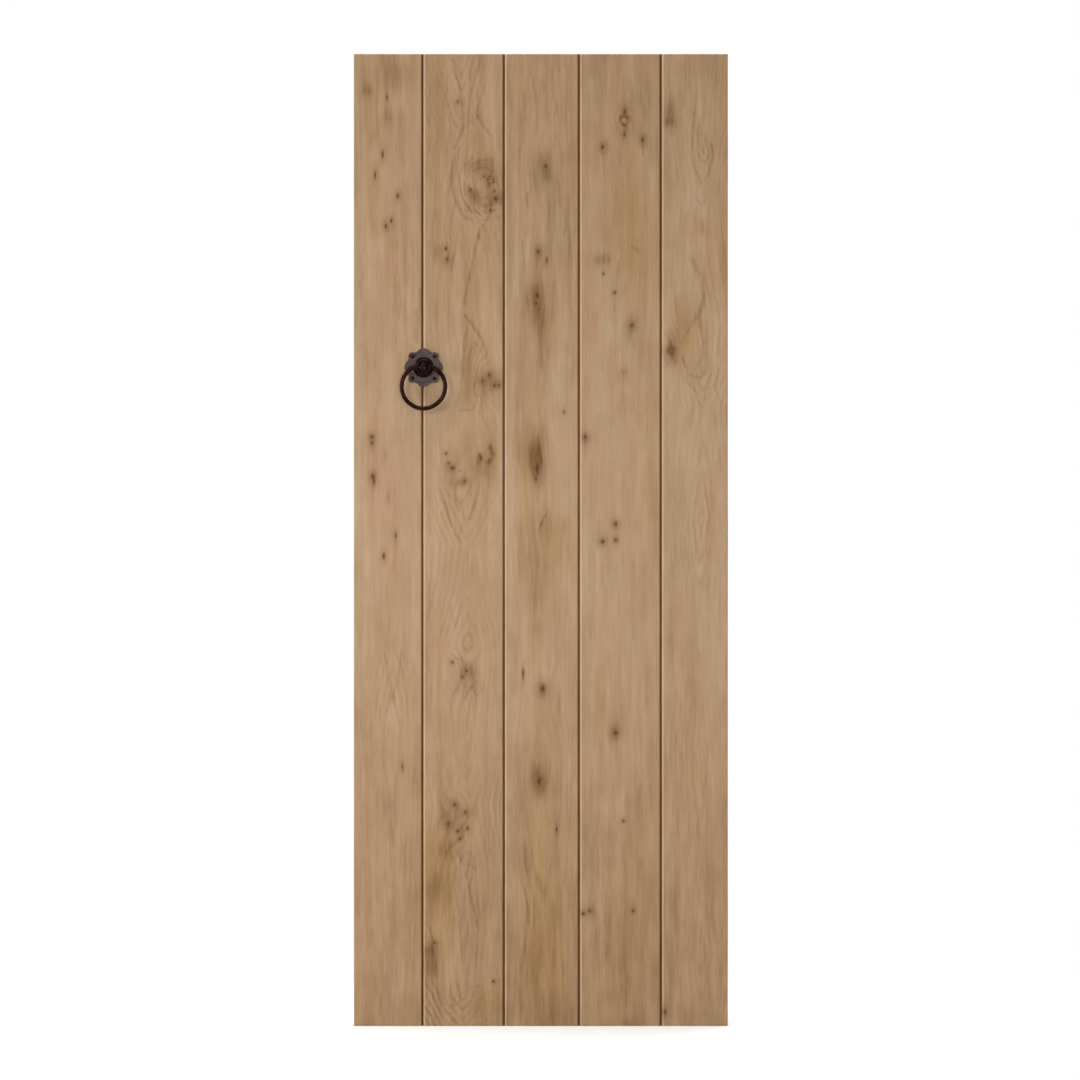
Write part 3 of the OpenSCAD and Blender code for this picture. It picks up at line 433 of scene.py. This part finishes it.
def boardProfile(low, high, first, last):
    # The board's section seen from above: left edge, face, right edge, back. Also the columns of the face.
    cut = boardCut
    front, back = low[1], high[1]
    left = low[0]
    right = high[0] - (0 if last else cut["joint"])
    slot, tongue = cut["grooveGap"] / 2, cut["tongue"] / 2
    side = cut["ease"] if first else cut["chamfer"]
    otherSide = cut["ease"] if last else cut["chamfer"]
    if first:
        edge = [(left, back - side), (left, 0), (left, front + side)]
    else:
        deep = left + cut["groove"]
        edge = [(left, back - cut["arris"]), (left, slot), (deep, slot), (deep, -slot), (left, -slot),
                (left, front + side), (left + side / 2, front + side / 2)]
    face = [(x, front) for x in spaced(left + side, right - otherSide, cut["faceStep"])]
    if last:
        farEdge = [(right, front + otherSide), (right, 0), (right, back - otherSide)]
    else:
        tip = high[0]
        farEdge = [(right - otherSide / 2, front + otherSide / 2), (right, front + otherSide),
                   (right, -tongue), (tip, -tongue), (tip, tongue), (right, tongue),
                   (right, back - cut["arris"])]
    backLeft = left + (side if first else cut["arris"])
    backRight = right - (otherSide if last else cut["arris"])
    rear = [(x, back) for x in spaced(backRight, backLeft, cut["backStep"])]
    return np.array(edge + face + farEdge + rear), slice(len(edge), len(edge) + len(face))


def makeBoard(board, leafLeft):
    # A board is its section carried along z. The face sinks by knotDip over each knot and waves by wave.
    low, high = boxOf(board["node"])
    profile, faceColumns = boardProfile(low, high, board is boards[0], board is boards[-1])
    ease = boardCut["endEase"]
    z = np.concatenate([[low[2]], spaced(low[2] + ease, high[2] - ease, boardCut["rowStep"]), [high[2]]])
    x = np.tile(profile[:, 0], (len(z), 1))
    y = np.tile(profile[:, 1], (len(z), 1))
    grain, mark, tone = figureOf(board, x - leafLeft, y, np.repeat(z[:, None], len(profile), 1))
    # painted shade in the V joints: each chamfer is painted darker towards the bottom of the groove
    joint = np.clip((y - low[1]) / boardCut["chamfer"], 0, 1) * (y < high[1] - 1)  # dark down in the joint
    # on the chamfer that faces the light from the left the painted shade starts only halfway down
    joint[:, :faceColumns.start] = np.clip(2 * joint[:, :faceColumns.start] - 1, 0, 1)
    if board is boards[0]:
        joint[:, :faceColumns.start] = 0
    else:
        # painted highlight: the board's left arris, which faces the light from the left, is painted paler
        tone[:, faceColumns.start, 2] += boardCut["paintedArrisHighlight"]
    if board is boards[-1]:
        joint[:, faceColumns.stop:] = 0
    mark[..., 2] = joint
    inset = np.zeros(len(z))
    inset[[0, -1]] = ease
    y = y * (1 - inset[:, None] / high[1])
    dip = boardCut["knotDip"] * np.clip(1.1 - mark[..., 0], 0, 1)
    dip = dip + boardCut["wave"] * softNoise(x / 50, z[:, None] / 180, board["seed"] + 8)
    y[1:-1, faceColumns] += np.clip(dip, 0, 1)[1:-1, faceColumns]
    points = np.stack([x, y, np.repeat(z[:, None], len(profile), 1)], -1) * mm
    piece = sheetMesh(board["node"] + "_oak", points, capped=True)
    setVectors(piece, "grain", grain)
    setVectors(piece, "mark", mark)
    setVectors(piece, "tone", tone)
    piece.data.materials.append(oakMaterial("planed oak " + board["node"][-1], board))
    piece.data.materials.append(endGrain)
    for end in (-1, -2):  # the two caps are the last faces
        piece.data.polygons[len(piece.data.polygons) + end].material_index = 1
    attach(piece, "door")
    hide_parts(board["node"])


def weightedSum(tree, total, *parts):
    # total + share * part for each pair
    for part, share in parts:
        total = addNode(tree, "ShaderNodeMath", {0: part, 1: share, 2: total},
                        operation="MULTIPLY_ADD").outputs[0]
    return total


def oakStreaks(tree, grain, seed):
    # four layers of noise stretched along the fibre, by width across it and length along it in mm
    streaks = []
    for wide, long, detail in ((17, 300, 2), (4.4, 70, 3), (1.5, 30, 2), (0.5, 9, 1)):
        place = addNode(tree, "ShaderNodeVectorMath", {0: grain, 1: (1 / wide, 1 / long, 0), 2: (0, 0, seed)},
                        operation="MULTIPLY_ADD")
        streaks.append(addNode(tree, "ShaderNodeTexNoise", {"Vector": place.outputs[0], "Scale": 1.0,
                                                            "Detail": detail, "Roughness": 0.55}))
    return [s.outputs[0] for s in streaks]


def oakRings(tree, ringAt, ringGap, middle, fine, force):
    # the pore line is the first part of each ring's saw tooth, and some rings hardly show
    wobble = addNode(tree, "ShaderNodeMath", {0: middle, 1: 0.8}, operation="MULTIPLY")
    turns = addNode(tree, "ShaderNodeMath", {0: ringAt, 1: 1 / ringGap, 2: wobble.outputs[0]},
                    operation="MULTIPLY_ADD")
    tooth = addNode(tree, "ShaderNodeMath", {0: turns.outputs[0]}, operation="FRACT")
    pores = addNode(tree, "ShaderNodeValToRGB", {0: tooth.outputs[0]},
                    stops=[(0, 0.4), (0.15, 0.9), (0.36, 0.45), (0.6, 0.15), (0.82, 0.05), (1, 0.4)])
    ringPlace = addNode(tree, "ShaderNodeMath", {0: ringAt, 1: 0.07}, operation="MULTIPLY")
    ringNoise = addNode(tree, "ShaderNodeTexNoise", {"W": ringPlace.outputs[0], "Scale": 1.0, "Detail": 2.0},
                        noise_dimensions="1D")
    clear = addNode(tree, "ShaderNodeMapRange", {0: ringNoise.outputs[0], 1: 0.35, 2: 0.65, 3: 0.3, 4: 1.3})
    broken = addNode(tree, "ShaderNodeMapRange", {0: fine, 1: 0.3, 2: 0.7, 3: 0.5, 4: 1.5})
    ringTone = addNode(tree, "ShaderNodeMath", {0: pores.outputs[0], 1: -0.36, 2: 0.12},
                       operation="MULTIPLY_ADD").outputs[0]
    for part in (clear.outputs[0], broken.outputs[0], force):
        ringTone = addNode(tree, "ShaderNodeMath", {0: ringTone, 1: part}, operation="MULTIPLY").outputs[0]
    return ringTone


def oakKnots(tree, knot, wood):
    # brown knots with a dark heart; their distance is roughened so that no edge is a clean ellipse
    place = addNode(tree, "ShaderNodeTexCoord")
    rough = addNode(tree, "ShaderNodeTexNoise", {"Vector": place.outputs["Object"], "Scale": 380.0,
                                                 "Detail": 3.0})
    edge = addNode(tree, "ShaderNodeMath", {0: rough.outputs[0], 1: 2.2, 2: -1.1}, operation="MULTIPLY_ADD")
    reach = addNode(tree, "ShaderNodeMath", {0: knot, 1: edge.outputs[0]}, operation="ADD")
    core = addNode(tree, "ShaderNodeValToRGB", {0: reach.outputs[0]},
                   stops=[(0.0, "#472e14"), (0.4, "#563a1e"), (0.8, "#6a4c2e"), (1.0, "#7c5f40")])
    mask = addNode(tree, "ShaderNodeMapRange", {0: reach.outputs[0], 1: 0.7, 2: 1.75, 3: 0.88, 4: 0.0},
                   interpolation_type="SMOOTHSTEP")
    knotted = addNode(tree, "ShaderNodeMix", {0: mask.outputs[0], 6: wood, 7: core.outputs[0]},
                      data_type="RGBA")
    return knotted.outputs[2], mask.outputs[0]


def oakMaterial(name, look):
    # Planed European oak with a clear oil: a matt pinkish to olive tan, fine streaks along the fibre, soft
    # darker lines where each ring's pores start, brown knots with a dark heart. The V joints carry painted
    # shade: their chamfers are painted darker towards the bottom of each groove.
    material, tree, shader = newMaterial(name)
    marks = {}
    for mark in ("grain", "mark", "tone"):
        marks[mark] = addNode(tree, "ShaderNodeAttribute", attribute_name=mark).outputs["Vector"]
    ringAt = addNode(tree, "ShaderNodeSeparateXYZ", {0: marks["grain"]}).outputs[2]
    knot, force, joint = addNode(tree, "ShaderNodeSeparateXYZ", {0: marks["mark"]}).outputs
    stain, tint, light = addNode(tree, "ShaderNodeSeparateXYZ", {0: marks["tone"]}).outputs
    broad, middle, fine, dashes = oakStreaks(tree, marks["grain"], look["seed"])
    ringTone = oakRings(tree, ringAt, look["ringGap"], middle, fine, force)

    # tone: 0.5 is the middle; streaks lighten and darken it and pore lines darken it
    openPores = addNode(tree, "ShaderNodeMapRange", {0: dashes, 1: 0.6, 2: 0.72, 3: 0.0, 4: -0.12})
    tone = weightedSum(tree, look["light"] + 0.05, (broad, 0.42), (middle, 0.27), (fine, 0.22),
                       (openPores.outputs[0], 1.0), (light, 0.1), (ringTone, 1.0))
    wood = addNode(tree, "ShaderNodeValToRGB", {0: tone},
                   stops=list(zip((0.0, 0.3, 0.52, 0.75, 1.0), oakColours))).outputs[0]

    # zones of pink and olive
    pink = addNode(tree, "ShaderNodeMapRange", {0: tint, 1: 0.0, 2: -1.2, 3: 0.0, 4: 0.5})
    olive = addNode(tree, "ShaderNodeMapRange", {0: tint, 1: 0.0, 2: 1.2, 3: 0.0, 4: 0.55})
    for zone, cast in ((pink, "#f6d9cb"), (olive, "#eee2ae")):
        wood = addNode(tree, "ShaderNodeMix", {0: zone.outputs[0], 6: wood, 7: toLinear(cast)},
                       data_type="RGBA", blend_type="MULTIPLY").outputs[2]

    # brown stains, broken up by the streaks
    patchy = addNode(tree, "ShaderNodeMapRange", {0: middle, 1: 0.3, 2: 0.65, 3: 1.15, 4: 0.8})
    stainForce = addNode(tree, "ShaderNodeMath", {0: stain, 1: patchy.outputs[0]}, operation="MULTIPLY",
                         use_clamp=True)
    stained = addNode(tree, "ShaderNodeMix", {0: stainForce.outputs[0], 6: wood, 7: toLinear("#ae9472")},
                      data_type="RGBA", blend_type="MULTIPLY")
    knotted, knotMask = oakKnots(tree, knot, stained.outputs[2])

    # V joints: painted shade, darkest at the bottom of the groove
    depth = addNode(tree, "ShaderNodeMapRange", {0: joint, 1: 0.0, 2: 0.8, 3: 0.0, 4: 0.8})
    colour = addNode(tree, "ShaderNodeMix", {0: depth.outputs[0], 6: knotted, 7: toLinear("#9d7726")},
                     data_type="RGBA", blend_type="MULTIPLY")

    # relief: pores and knots lie a little low
    height = weightedSum(tree, tone, (fine, 0.5), (knotMask, -0.6))
    relief = addNode(tree, "ShaderNodeBump", {"Strength": 0.35, "Distance": 0.5 * mm, "Height": height})
    gloss = addNode(tree, "ShaderNodeMapRange", {0: middle, 1: 0.3, 2: 0.7, 3: 0.66, 4: 0.54})
    tree.links.new(colour.outputs[2], shader.inputs["Base Color"])
    tree.links.new(gloss.outputs[0], shader.inputs["Roughness"])
    tree.links.new(relief.outputs[0], shader.inputs["Normal"])
    shader.inputs["IOR"].default_value = 1.45
    shader.inputs["Specular IOR Level"].default_value = 0.2
    return material


def endGrainMaterial():
    # Sawn oak across the fibre: darker than the face, ring arcs and open pores
    material, tree, shader = newMaterial("sawn oak end grain")
    place = addNode(tree, "ShaderNodeTexCoord")
    rings = addNode(tree, "ShaderNodeTexWave", {"Vector": place.outputs["Object"], "Scale": 38.0,
                                                "Distortion": 4.0, "Detail": 2.0, "Detail Scale": 1.5},
                    wave_type="RINGS", rings_direction="Z", wave_profile="SAW")
    pores = addNode(tree, "ShaderNodeTexNoise", {"Vector": place.outputs["Object"], "Scale": 900.0,
                                                 "Detail": 2.0})
    tone = addNode(tree, "ShaderNodeMath", {0: rings.outputs[0], 1: 0.5, 2: pores.outputs[0]},
                   operation="MULTIPLY_ADD")
    colour = addNode(tree, "ShaderNodeValToRGB", {0: tone.outputs[0]},
                     stops=[(0.2, "#5c4835"), (0.6, "#78624b"), (1.0, "#8f7b62")])
    relief = addNode(tree, "ShaderNodeBump", {"Strength": 0.4, "Distance": 0.4 * mm,
                                              "Height": pores.outputs[0]})
    tree.links.new(colour.outputs[0], shader.inputs["Base Color"])
    tree.links.new(relief.outputs[0], shader.inputs["Normal"])
    shader.inputs["Roughness"].default_value = 0.8
    shader.inputs["Specular IOR Level"].default_value = 0.2
    return material


endGrain = endGrainMaterial()
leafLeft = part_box("board_1")[0][0] / mm
for board in boards:
    makeBoard(board, leafLeft)
print("boards:", len(boards))


# ---- oak ledges, which keep their own shape ----

def ledgeMaterial():
    # Planed oak like the boards, with its fibre along x and its rings round a line behind the ledge
    material, tree, shader = newMaterial("planed oak ledge")
    place = addNode(tree, "ShaderNodeTexCoord")
    slow = addNode(tree, "ShaderNodeMapping", {0: place.outputs["Object"], "Scale": (1.2, 8.0, 8.0)})
    sway = addNode(tree, "ShaderNodeTexNoise", {"Vector": slow.outputs[0], "Scale": 1.0, "Detail": 1.0})
    moved = addNode(tree, "ShaderNodeVectorMath", {0: sway.outputs[1], 1: (0.0, 0.03, 0.06),
                                                   2: place.outputs["Object"]}, operation="MULTIPLY_ADD")
    streaks = []
    for across, lengthways, detail in ((70, 2.6, 2), (220, 7, 3), (650, 22, 2)):
        stretched = addNode(tree, "ShaderNodeMapping", {0: moved.outputs[0],
                                                        "Scale": (lengthways, across, across)})
        streaks.append(addNode(tree, "ShaderNodeTexNoise", {"Vector": stretched.outputs[0], "Scale": 1.0,
                                                            "Detail": detail}))
    broad, middle, fine = [s.outputs[0] for s in streaks]
    rings = addNode(tree, "ShaderNodeMapping", {0: moved.outputs[0], "Scale": (0.9, 12.0, 9.0)})
    rings = addNode(tree, "ShaderNodeTexWave", {"Vector": rings.outputs[0], "Scale": 2.4, "Distortion": 3.0,
                                                "Detail": 2.0, "Detail Scale": 0.8},
                    wave_type="BANDS", bands_direction="Z", wave_profile="SAW")
    pores = addNode(tree, "ShaderNodeValToRGB", {0: rings.outputs[0]},
                    stops=[(0, 0.8), (0.2, 0.3), (0.6, 0.05), (1, 0.0)])
    tone = weightedSum(tree, -0.18, (broad, 0.6), (middle, 0.5), (fine, 0.3), (pores.outputs[0], -0.22))
    wood = addNode(tree, "ShaderNodeValToRGB", {0: tone},
                   stops=list(zip((0.0, 0.3, 0.52, 0.78, 1.0), oakColours)))
    relief = addNode(tree, "ShaderNodeBump", {"Strength": 0.35, "Distance": 0.5 * mm, "Height": tone})
    tree.links.new(wood.outputs[0], shader.inputs["Base Color"])
    tree.links.new(relief.outputs[0], shader.inputs["Normal"])
    shader.inputs["Roughness"].default_value = 0.6
    shader.inputs["IOR"].default_value = 1.45
    shader.inputs["Specular IOR Level"].default_value = 0.35
    return material


def dress(material, *names):
    # gives CAD nodes a finish, with their shape as it is
    for name in names:
        node = frame["nodes"][name]
        node.data.materials.clear()
        node.data.materials.append(material)


dress(ledgeMaterial(), "ledge_top", "ledge_middle", "ledge_bottom")
print("ledges: 3")


# ---- iron and steel ----

def ironMaterial(name, dark, light, roughness, grit, depth, metallic):
    # Cast and forged iron under black-brown wax: a dark body, paler on the high spots of its hammered skin.
    # grit is the size of the skin's dimples and depth how deep they are, in mm.
    material, tree, shader = newMaterial(name)
    place = addNode(tree, "ShaderNodeTexCoord")
    skin = addNode(tree, "ShaderNodeTexNoise", {"Vector": place.outputs["Object"], "Scale": 1 / (grit * mm),
                                                "Detail": 4.0, "Roughness": 0.6})
    patches = addNode(tree, "ShaderNodeTexNoise", {"Vector": place.outputs["Object"],
                                                   "Scale": 0.2 / (grit * mm), "Detail": 2.0})
    mixed = addNode(tree, "ShaderNodeMath", {0: skin.outputs[0], 1: 0.6, 2: -0.3}, operation="MULTIPLY_ADD")
    mixed = addNode(tree, "ShaderNodeMath", {0: patches.outputs[0], 1: mixed.outputs[0]}, operation="ADD")
    colour = addNode(tree, "ShaderNodeValToRGB", {0: mixed.outputs[0]}, stops=[(0.3, dark), (0.75, light)])
    gloss = addNode(tree, "ShaderNodeMapRange", {0: skin.outputs[0], 1: 0.3, 2: 0.7, 3: roughness + 0.08,
                                                 4: roughness - 0.08})
    relief = addNode(tree, "ShaderNodeBump", {"Strength": 1.0, "Distance": depth * mm,
                                              "Height": skin.outputs[0]})
    tree.links.new(colour.outputs[0], shader.inputs["Base Color"])
    tree.links.new(gloss.outputs[0], shader.inputs["Roughness"])
    tree.links.new(relief.outputs[0], shader.inputs["Normal"])
    shader.inputs["Metallic"].default_value = metallic
    return material


blackIron = ironMaterial("waxed wrought iron", "#160805", "#35190f", 0.3, 2.2, 0.08, 0.9)
bossIron = ironMaterial("black cast iron boss", "#120608", "#261418", 0.26, 2.6, 0.05, 0.85)
roseIron = ironMaterial("waxed cast iron rose", "#2a2020", "#52413f", 0.42, 2.8, 0.2, 0.5)
japanned = ironMaterial("japanned steel", "#1b1a1c", "#2a292c", 0.34, 3.0, 0.05, 0.2)
plated = ironMaterial("zinc plated steel", "#77757a", "#a3a19c", 0.36, 4.0, 0.04, 0.9)

dress(blackIron, "rose_screws", "back_plate", "lifter", "latch_bar", "latch_knob", "pivot_plate", "keeper")
dress(japanned, *[n for n in frame["nodes"] if n.startswith("hinge_") and n.endswith("leaf")])
dress(plated, "hinge_screws", "hinge_top_pin", "hinge_middle_pin", "hinge_bottom_pin", "ledge_screws",
      "spindle", "back_plate_screws", "lifter_pin", "pivot_bolt", "pivot_plate_screws", "keeper_screws")

# sizes in mm; the rose takes its place and thickness from the frame, and the ring its overall size
rose = {"lobeAt": 23.0, "lobe": 16.0, "budAt": 32.5, "bud": 8.0, "core": 35.0, "bore": 9.1, "round": 1.1,
        "around": 288, "skin": 0.18}
boss = {"around": 96, "seat": 6.0, "earReach": 16.2, "earRadius": 6.1, "earBore": 3.7}
ring = {"bar": 4.25, "pin": 3.45, "bend": 9.0, "around": 32, "step": 1.2, "skin": 0.12}


def loopPoints(r, along, angle, centre):
    # turns (radius, distance out of the door, angle) about the spindle into points; out is towards -y
    return np.stack([centre[0] + r * np.cos(angle), centre[1] - along, centre[2] + r * np.sin(angle)], -1)


def makeRose():
    # The outline is the furthest reach of nine circles along each ray: c cos(t) + sqrt(r^2 - (c sin t)^2).
    # The section runs from the bore over the face, round the edge and back along the wood.
    low, high = boxOf("rose_plate")
    centre = [(low[0] + high[0]) / 2, high[1], (low[2] + high[2]) / 2]
    thick = high[1] - low[1]
    angle = np.linspace(0, 2 * np.pi, rose["around"], endpoint=False)
    reach = np.full_like(angle, rose["core"])
    for first, far, radius in ((0, rose["lobeAt"], rose["lobe"]), (45, rose["budAt"], rose["bud"])):
        for turn in range(4):
            off = (angle - math.radians(first + 90 * turn) + np.pi) % (2 * np.pi) - np.pi
            under = radius ** 2 - (far * np.sin(off)) ** 2
            ray = far * np.cos(off) + np.sqrt(np.maximum(under, 0))
            reach = np.maximum(reach, np.where((under > 0) & (np.cos(off) > 0), ray, 0))
    edge = rose["round"]
    share = np.array([0, .12, .24, .36, .48, .6, .72, .84, .94, 1, 1, 1, 1, 1, 1, .6, .2])
    inset = edge * np.array([0, 0, 0, 0, 0, 0, 0, 0, 0, 1, .6, .28, .07, 0, 0, 0, 0])
    out = np.array([thick] * 10 + [thick - drop * edge for drop in (.12, .4, .75, 1.2)] + [0, 0, 0])
    share, inset, out = share[:, None], inset[:, None], out[:, None]
    r = rose["bore"] + (reach - rose["bore"]) * share - inset
    skin = rose["skin"] * softNoise(r * np.cos(angle) / 4, r * np.sin(angle) / 4, 5)
    face = out + np.minimum(skin, 0) - 0.5 * np.clip(share - .8, 0, 1)  # the face falls a little to its edge
    raised = np.where(out > 0.2, face, 0)
    points = loopPoints(r, raised, np.tile(angle, (len(share), 1)), centre) * mm
    piece = sheetMesh("rose_plate_iron", points[:, ::-1], closedRows=True)
    piece.data.materials.append(roseIron)
    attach(piece, "door")
    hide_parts("rose_plate")


def finishBoss(piece):
    # both pieces of the boss stand for the same CAD node
    piece.data.materials.append(bossIron)
    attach(piece, "boss")
    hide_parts("ring_boss")


def makeEars():
    # the boss's ears, where the ring's pin goes through: one rounded sleeve along x at the ring's axis
    swingAt = np.array(jointOf["ring_swing"]["pos_m"]) / mm
    angle = np.linspace(0, 2 * np.pi, boss["around"], endpoint=False)
    reach, radius, bore = boss["earReach"], boss["earRadius"], boss["earBore"]
    side = np.array([(-reach, bore), (-reach, radius - .8), (-reach + .8, radius), (reach - .8, radius),
                     (reach, radius - .8), (reach, bore)])
    sleeve = np.stack([swingAt[0] + side[:, :1] + 0 * angle, swingAt[1] + side[:, 1:] * np.cos(angle),
                       swingAt[2] + side[:, 1:] * np.sin(angle)], -1)
    finishBoss(sheetMesh("ring_boss_ears", sleeve * mm, closedRows=True))


def makeBoss():
    # A turned boss: radius and height pairs carried round the spindle. The nose is a ball in a hollow,
    # inside a rounded rim.
    low, high = boxOf("ring_boss")
    spindleAt = np.array(jointOf["ring_turn"]["pos_m"]) / mm
    back, nose = high[1], low[1]
    foot = (high[2] - low[2]) / 2
    seat = back - boss["seat"]  # the foot's underside, over the rose
    tall = seat - nose
    section = np.array([
        (0.01, seat - back), (8.9, seat - back), (8.95, 0.0), (foot - .5, 0.0), (foot, .45), (foot, 1.3),
        (foot - .5, 1.9), (foot - 1.6, 2.2), (18.2, 2.5), (16.8, 3.2), (15.8, 4.4), (15.2, 6.2), (15.0, 9.0),
        (15.0, tall - 5.4), (14.9, tall - 4.6), (14.4, tall - 3.7), (13.4, tall - 3.1), (12.2, tall - 3.0),
        (11.2, tall - 3.5), (10.4, tall - 4.6), (9.7, tall - 5.6), (9.1, tall - 5.6), (8.8, tall - 4.6),
        (8.2, tall - 3.1), (7.0, tall - 1.6), (5.2, tall - .6), (3.0, tall - .12), (1.2, tall), (0.01, tall)])
    angle = np.linspace(0, 2 * np.pi, boss["around"], endpoint=False)
    turned = angle + np.zeros((len(section), 1))
    centre = [spindleAt[0], seat, spindleAt[2]]
    points = loopPoints(section[:, :1], section[:, 1:] + 0 * turned, turned, centre)
    finishBoss(sheetMesh("ring_boss_iron", points[:, ::-1] * mm, capped=True))


def makeRing():
    # Centre line: a straight pin through the boss, two bends and one large arc, all tangent. A circle is
    # carried along it; its radius is smaller on the pin, and hammering moves its skin elsewhere.
    low, high = boxOf("ring")
    axis = np.array(jointOf["ring_swing"]["pos_m"]) / mm
    outer = (high[0] - low[0]) / 2
    radius = outer - ring["bar"]
    drop = axis[2] - (low[2] + outer)
    bend = ring["bend"]
    half = math.sqrt((radius - bend) ** 2 - (drop - bend) ** 2)
    turn = math.atan2(half, drop - bend)
    lengths = [2 * half, bend * turn, radius * (2 * np.pi - 2 * turn), bend * turn]
    s = np.arange(0, sum(lengths), ring["step"])
    a, b, c = np.cumsum(lengths)[:3]
    t1, t2, t3 = (s - a) / bend, turn + (s - b) / radius, 2 * np.pi - turn + (s - c) / bend
    heading = np.select([s < a, s < b, s < c], [0 * s, t1, t2], t3)  # turned clockwise from +x
    x = np.select([s < a, s < b, s < c], [s - half, half + bend * np.sin(t1), radius * np.sin(t2)],
                  -half + bend * np.sin(t3))
    z = np.select([s < a, s < b, s < c], [0 * s, -bend + bend * np.cos(t1), -drop + radius * np.cos(t2)],
                  -bend + bend * np.cos(t3))
    middle = np.abs((s - a / 2 + sum(lengths) / 2) % sum(lengths) - sum(lengths) / 2)
    bar = ring["pin"] + (ring["bar"] - ring["pin"]) * np.clip((middle - half + 2) / 5, 0, 1)
    angle = np.linspace(0, 2 * np.pi, ring["around"], endpoint=False)
    hammered = ring["skin"] * softNoise(s[:, None] / 6, angle / np.pi * 4, 9)
    bar = bar[:, None] + hammered * (bar[:, None] > ring["bar"] - 0.05)
    outwards = np.stack([np.sin(heading), 0 * s, np.cos(heading)], -1)  # in the ring's plane
    points = np.stack([x, 0 * x, z], -1)[:, None] + axis
    points = points + bar[..., None] * (np.cos(angle)[None, :, None] * outwards[:, None]
                                        + np.sin(angle)[None, :, None] * np.array([0, 1.0, 0]))
    piece = sheetMesh("ring_iron", points * mm, closedRows=True)
    piece.data.materials.append(blackIron)
    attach(piece, "ring")
    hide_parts("ring")


makeRose()
makeBoss()
makeEars()
makeRing()
print("handle: rose, boss and ring")


# ---- floor, light and camera ----

studio = {
    "sky": 0.27,           # soft light from all round
    "floor": "#f4f4f2",
    "floorHalf": (1.5, 1.2),
    # each lamp: x, y, z, width and height in metres, watts
    "key": (-2.5, -3.2, 2.6, 1.0, 1.0, 48.0),
    "left": (-3.1, -1.1, 1.1, 0.5, 1.4, 56.0),
    "front": (0.2, -2.0, 1.1, 1.0, 0.8, 12.4),
    "top": (0.0, 0.0, 4.6, 3.4, 3.0, 180.0),
    "back": (1.2, 3.6, 2.4, 2.0, 2.0, 80.0),
    "lens": 200.0,         # in mm
    "distance": 12.227,    # from the camera to the boards' faces
    "aside": -0.0017,      # the camera's place along x
}


def makeStage():
    # A pale floor, a white surround that only the camera sees bright, and five soft lamps
    mesh = bpy.data.meshes.new("floor")
    wide, deep = studio["floorHalf"]
    corners = [(-wide, -deep, 0), (wide, -deep, 0), (wide, deep, 0), (-wide, deep, 0)]
    mesh.from_pydata(corners, [], [(0, 1, 2, 3)])
    floor = bpy.data.objects.new("floor", mesh)
    bpy.context.scene.collection.objects.link(floor)
    material, tree, shader = newMaterial("matt white floor paint")
    shader.inputs["Base Color"].default_value = toLinear(studio["floor"])
    shader.inputs["Roughness"].default_value = 0.9
    mesh.materials.append(material)
    world = bpy.data.worlds.new("studio")
    bpy.context.scene.world = world
    world.use_nodes = True
    tree = world.node_tree
    tree.nodes.clear()
    seen = addNode(tree, "ShaderNodeLightPath")
    sky = addNode(tree, "ShaderNodeBackground", {"Color": (1, 1, 1, 1), "Strength": studio["sky"]})
    white = addNode(tree, "ShaderNodeBackground", {"Color": (1, 1, 1, 1), "Strength": 1.0})
    both = addNode(tree, "ShaderNodeMixShader", {0: seen.outputs["Is Camera Ray"], 1: sky.outputs[0],
                                                 2: white.outputs[0]})
    addNode(tree, "ShaderNodeOutputWorld", {0: both.outputs[0]})
    for name in ("key", "left", "front", "top", "back"):
        x, y, z, width, height, watts = studio[name]
        lamp = bpy.data.lights.new(name, "AREA")
        lamp.shape = "RECTANGLE"
        lamp.energy, lamp.size, lamp.size_y = watts, width, height
        holder = bpy.data.objects.new(name, lamp)
        bpy.context.scene.collection.objects.link(holder)
        holder.location = (x, y, z)
        holder.visible_camera = False
        aim = np.array([0, 0, 1.0]) - np.array([x, y, z])
        holder.rotation_euler = (math.atan2(math.hypot(aim[0], aim[1]), -aim[2]), 0,
                                 math.atan2(aim[1], aim[0]) - math.pi / 2)


def makeCamera():
    # A long lens level with the middle of the leaf, square to its face
    low, high = cadBox
    camera = bpy.data.cameras.new("camera")
    camera.lens = studio["lens"]
    camera.clip_end = 100
    holder = bpy.data.objects.new("camera", camera)
    bpy.context.scene.collection.objects.link(holder)
    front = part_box("board_3")[0][1]
    holder.location = (studio["aside"], front - studio["distance"], (low[2] + high[2]) / 2)
    holder.rotation_euler = (math.pi / 2, 0, 0)
    bpy.context.scene.camera = holder


makeStage()
makeCamera()
bpy.context.scene.view_settings.view_transform = "Standard"
print("stage: floor, lamps and camera")
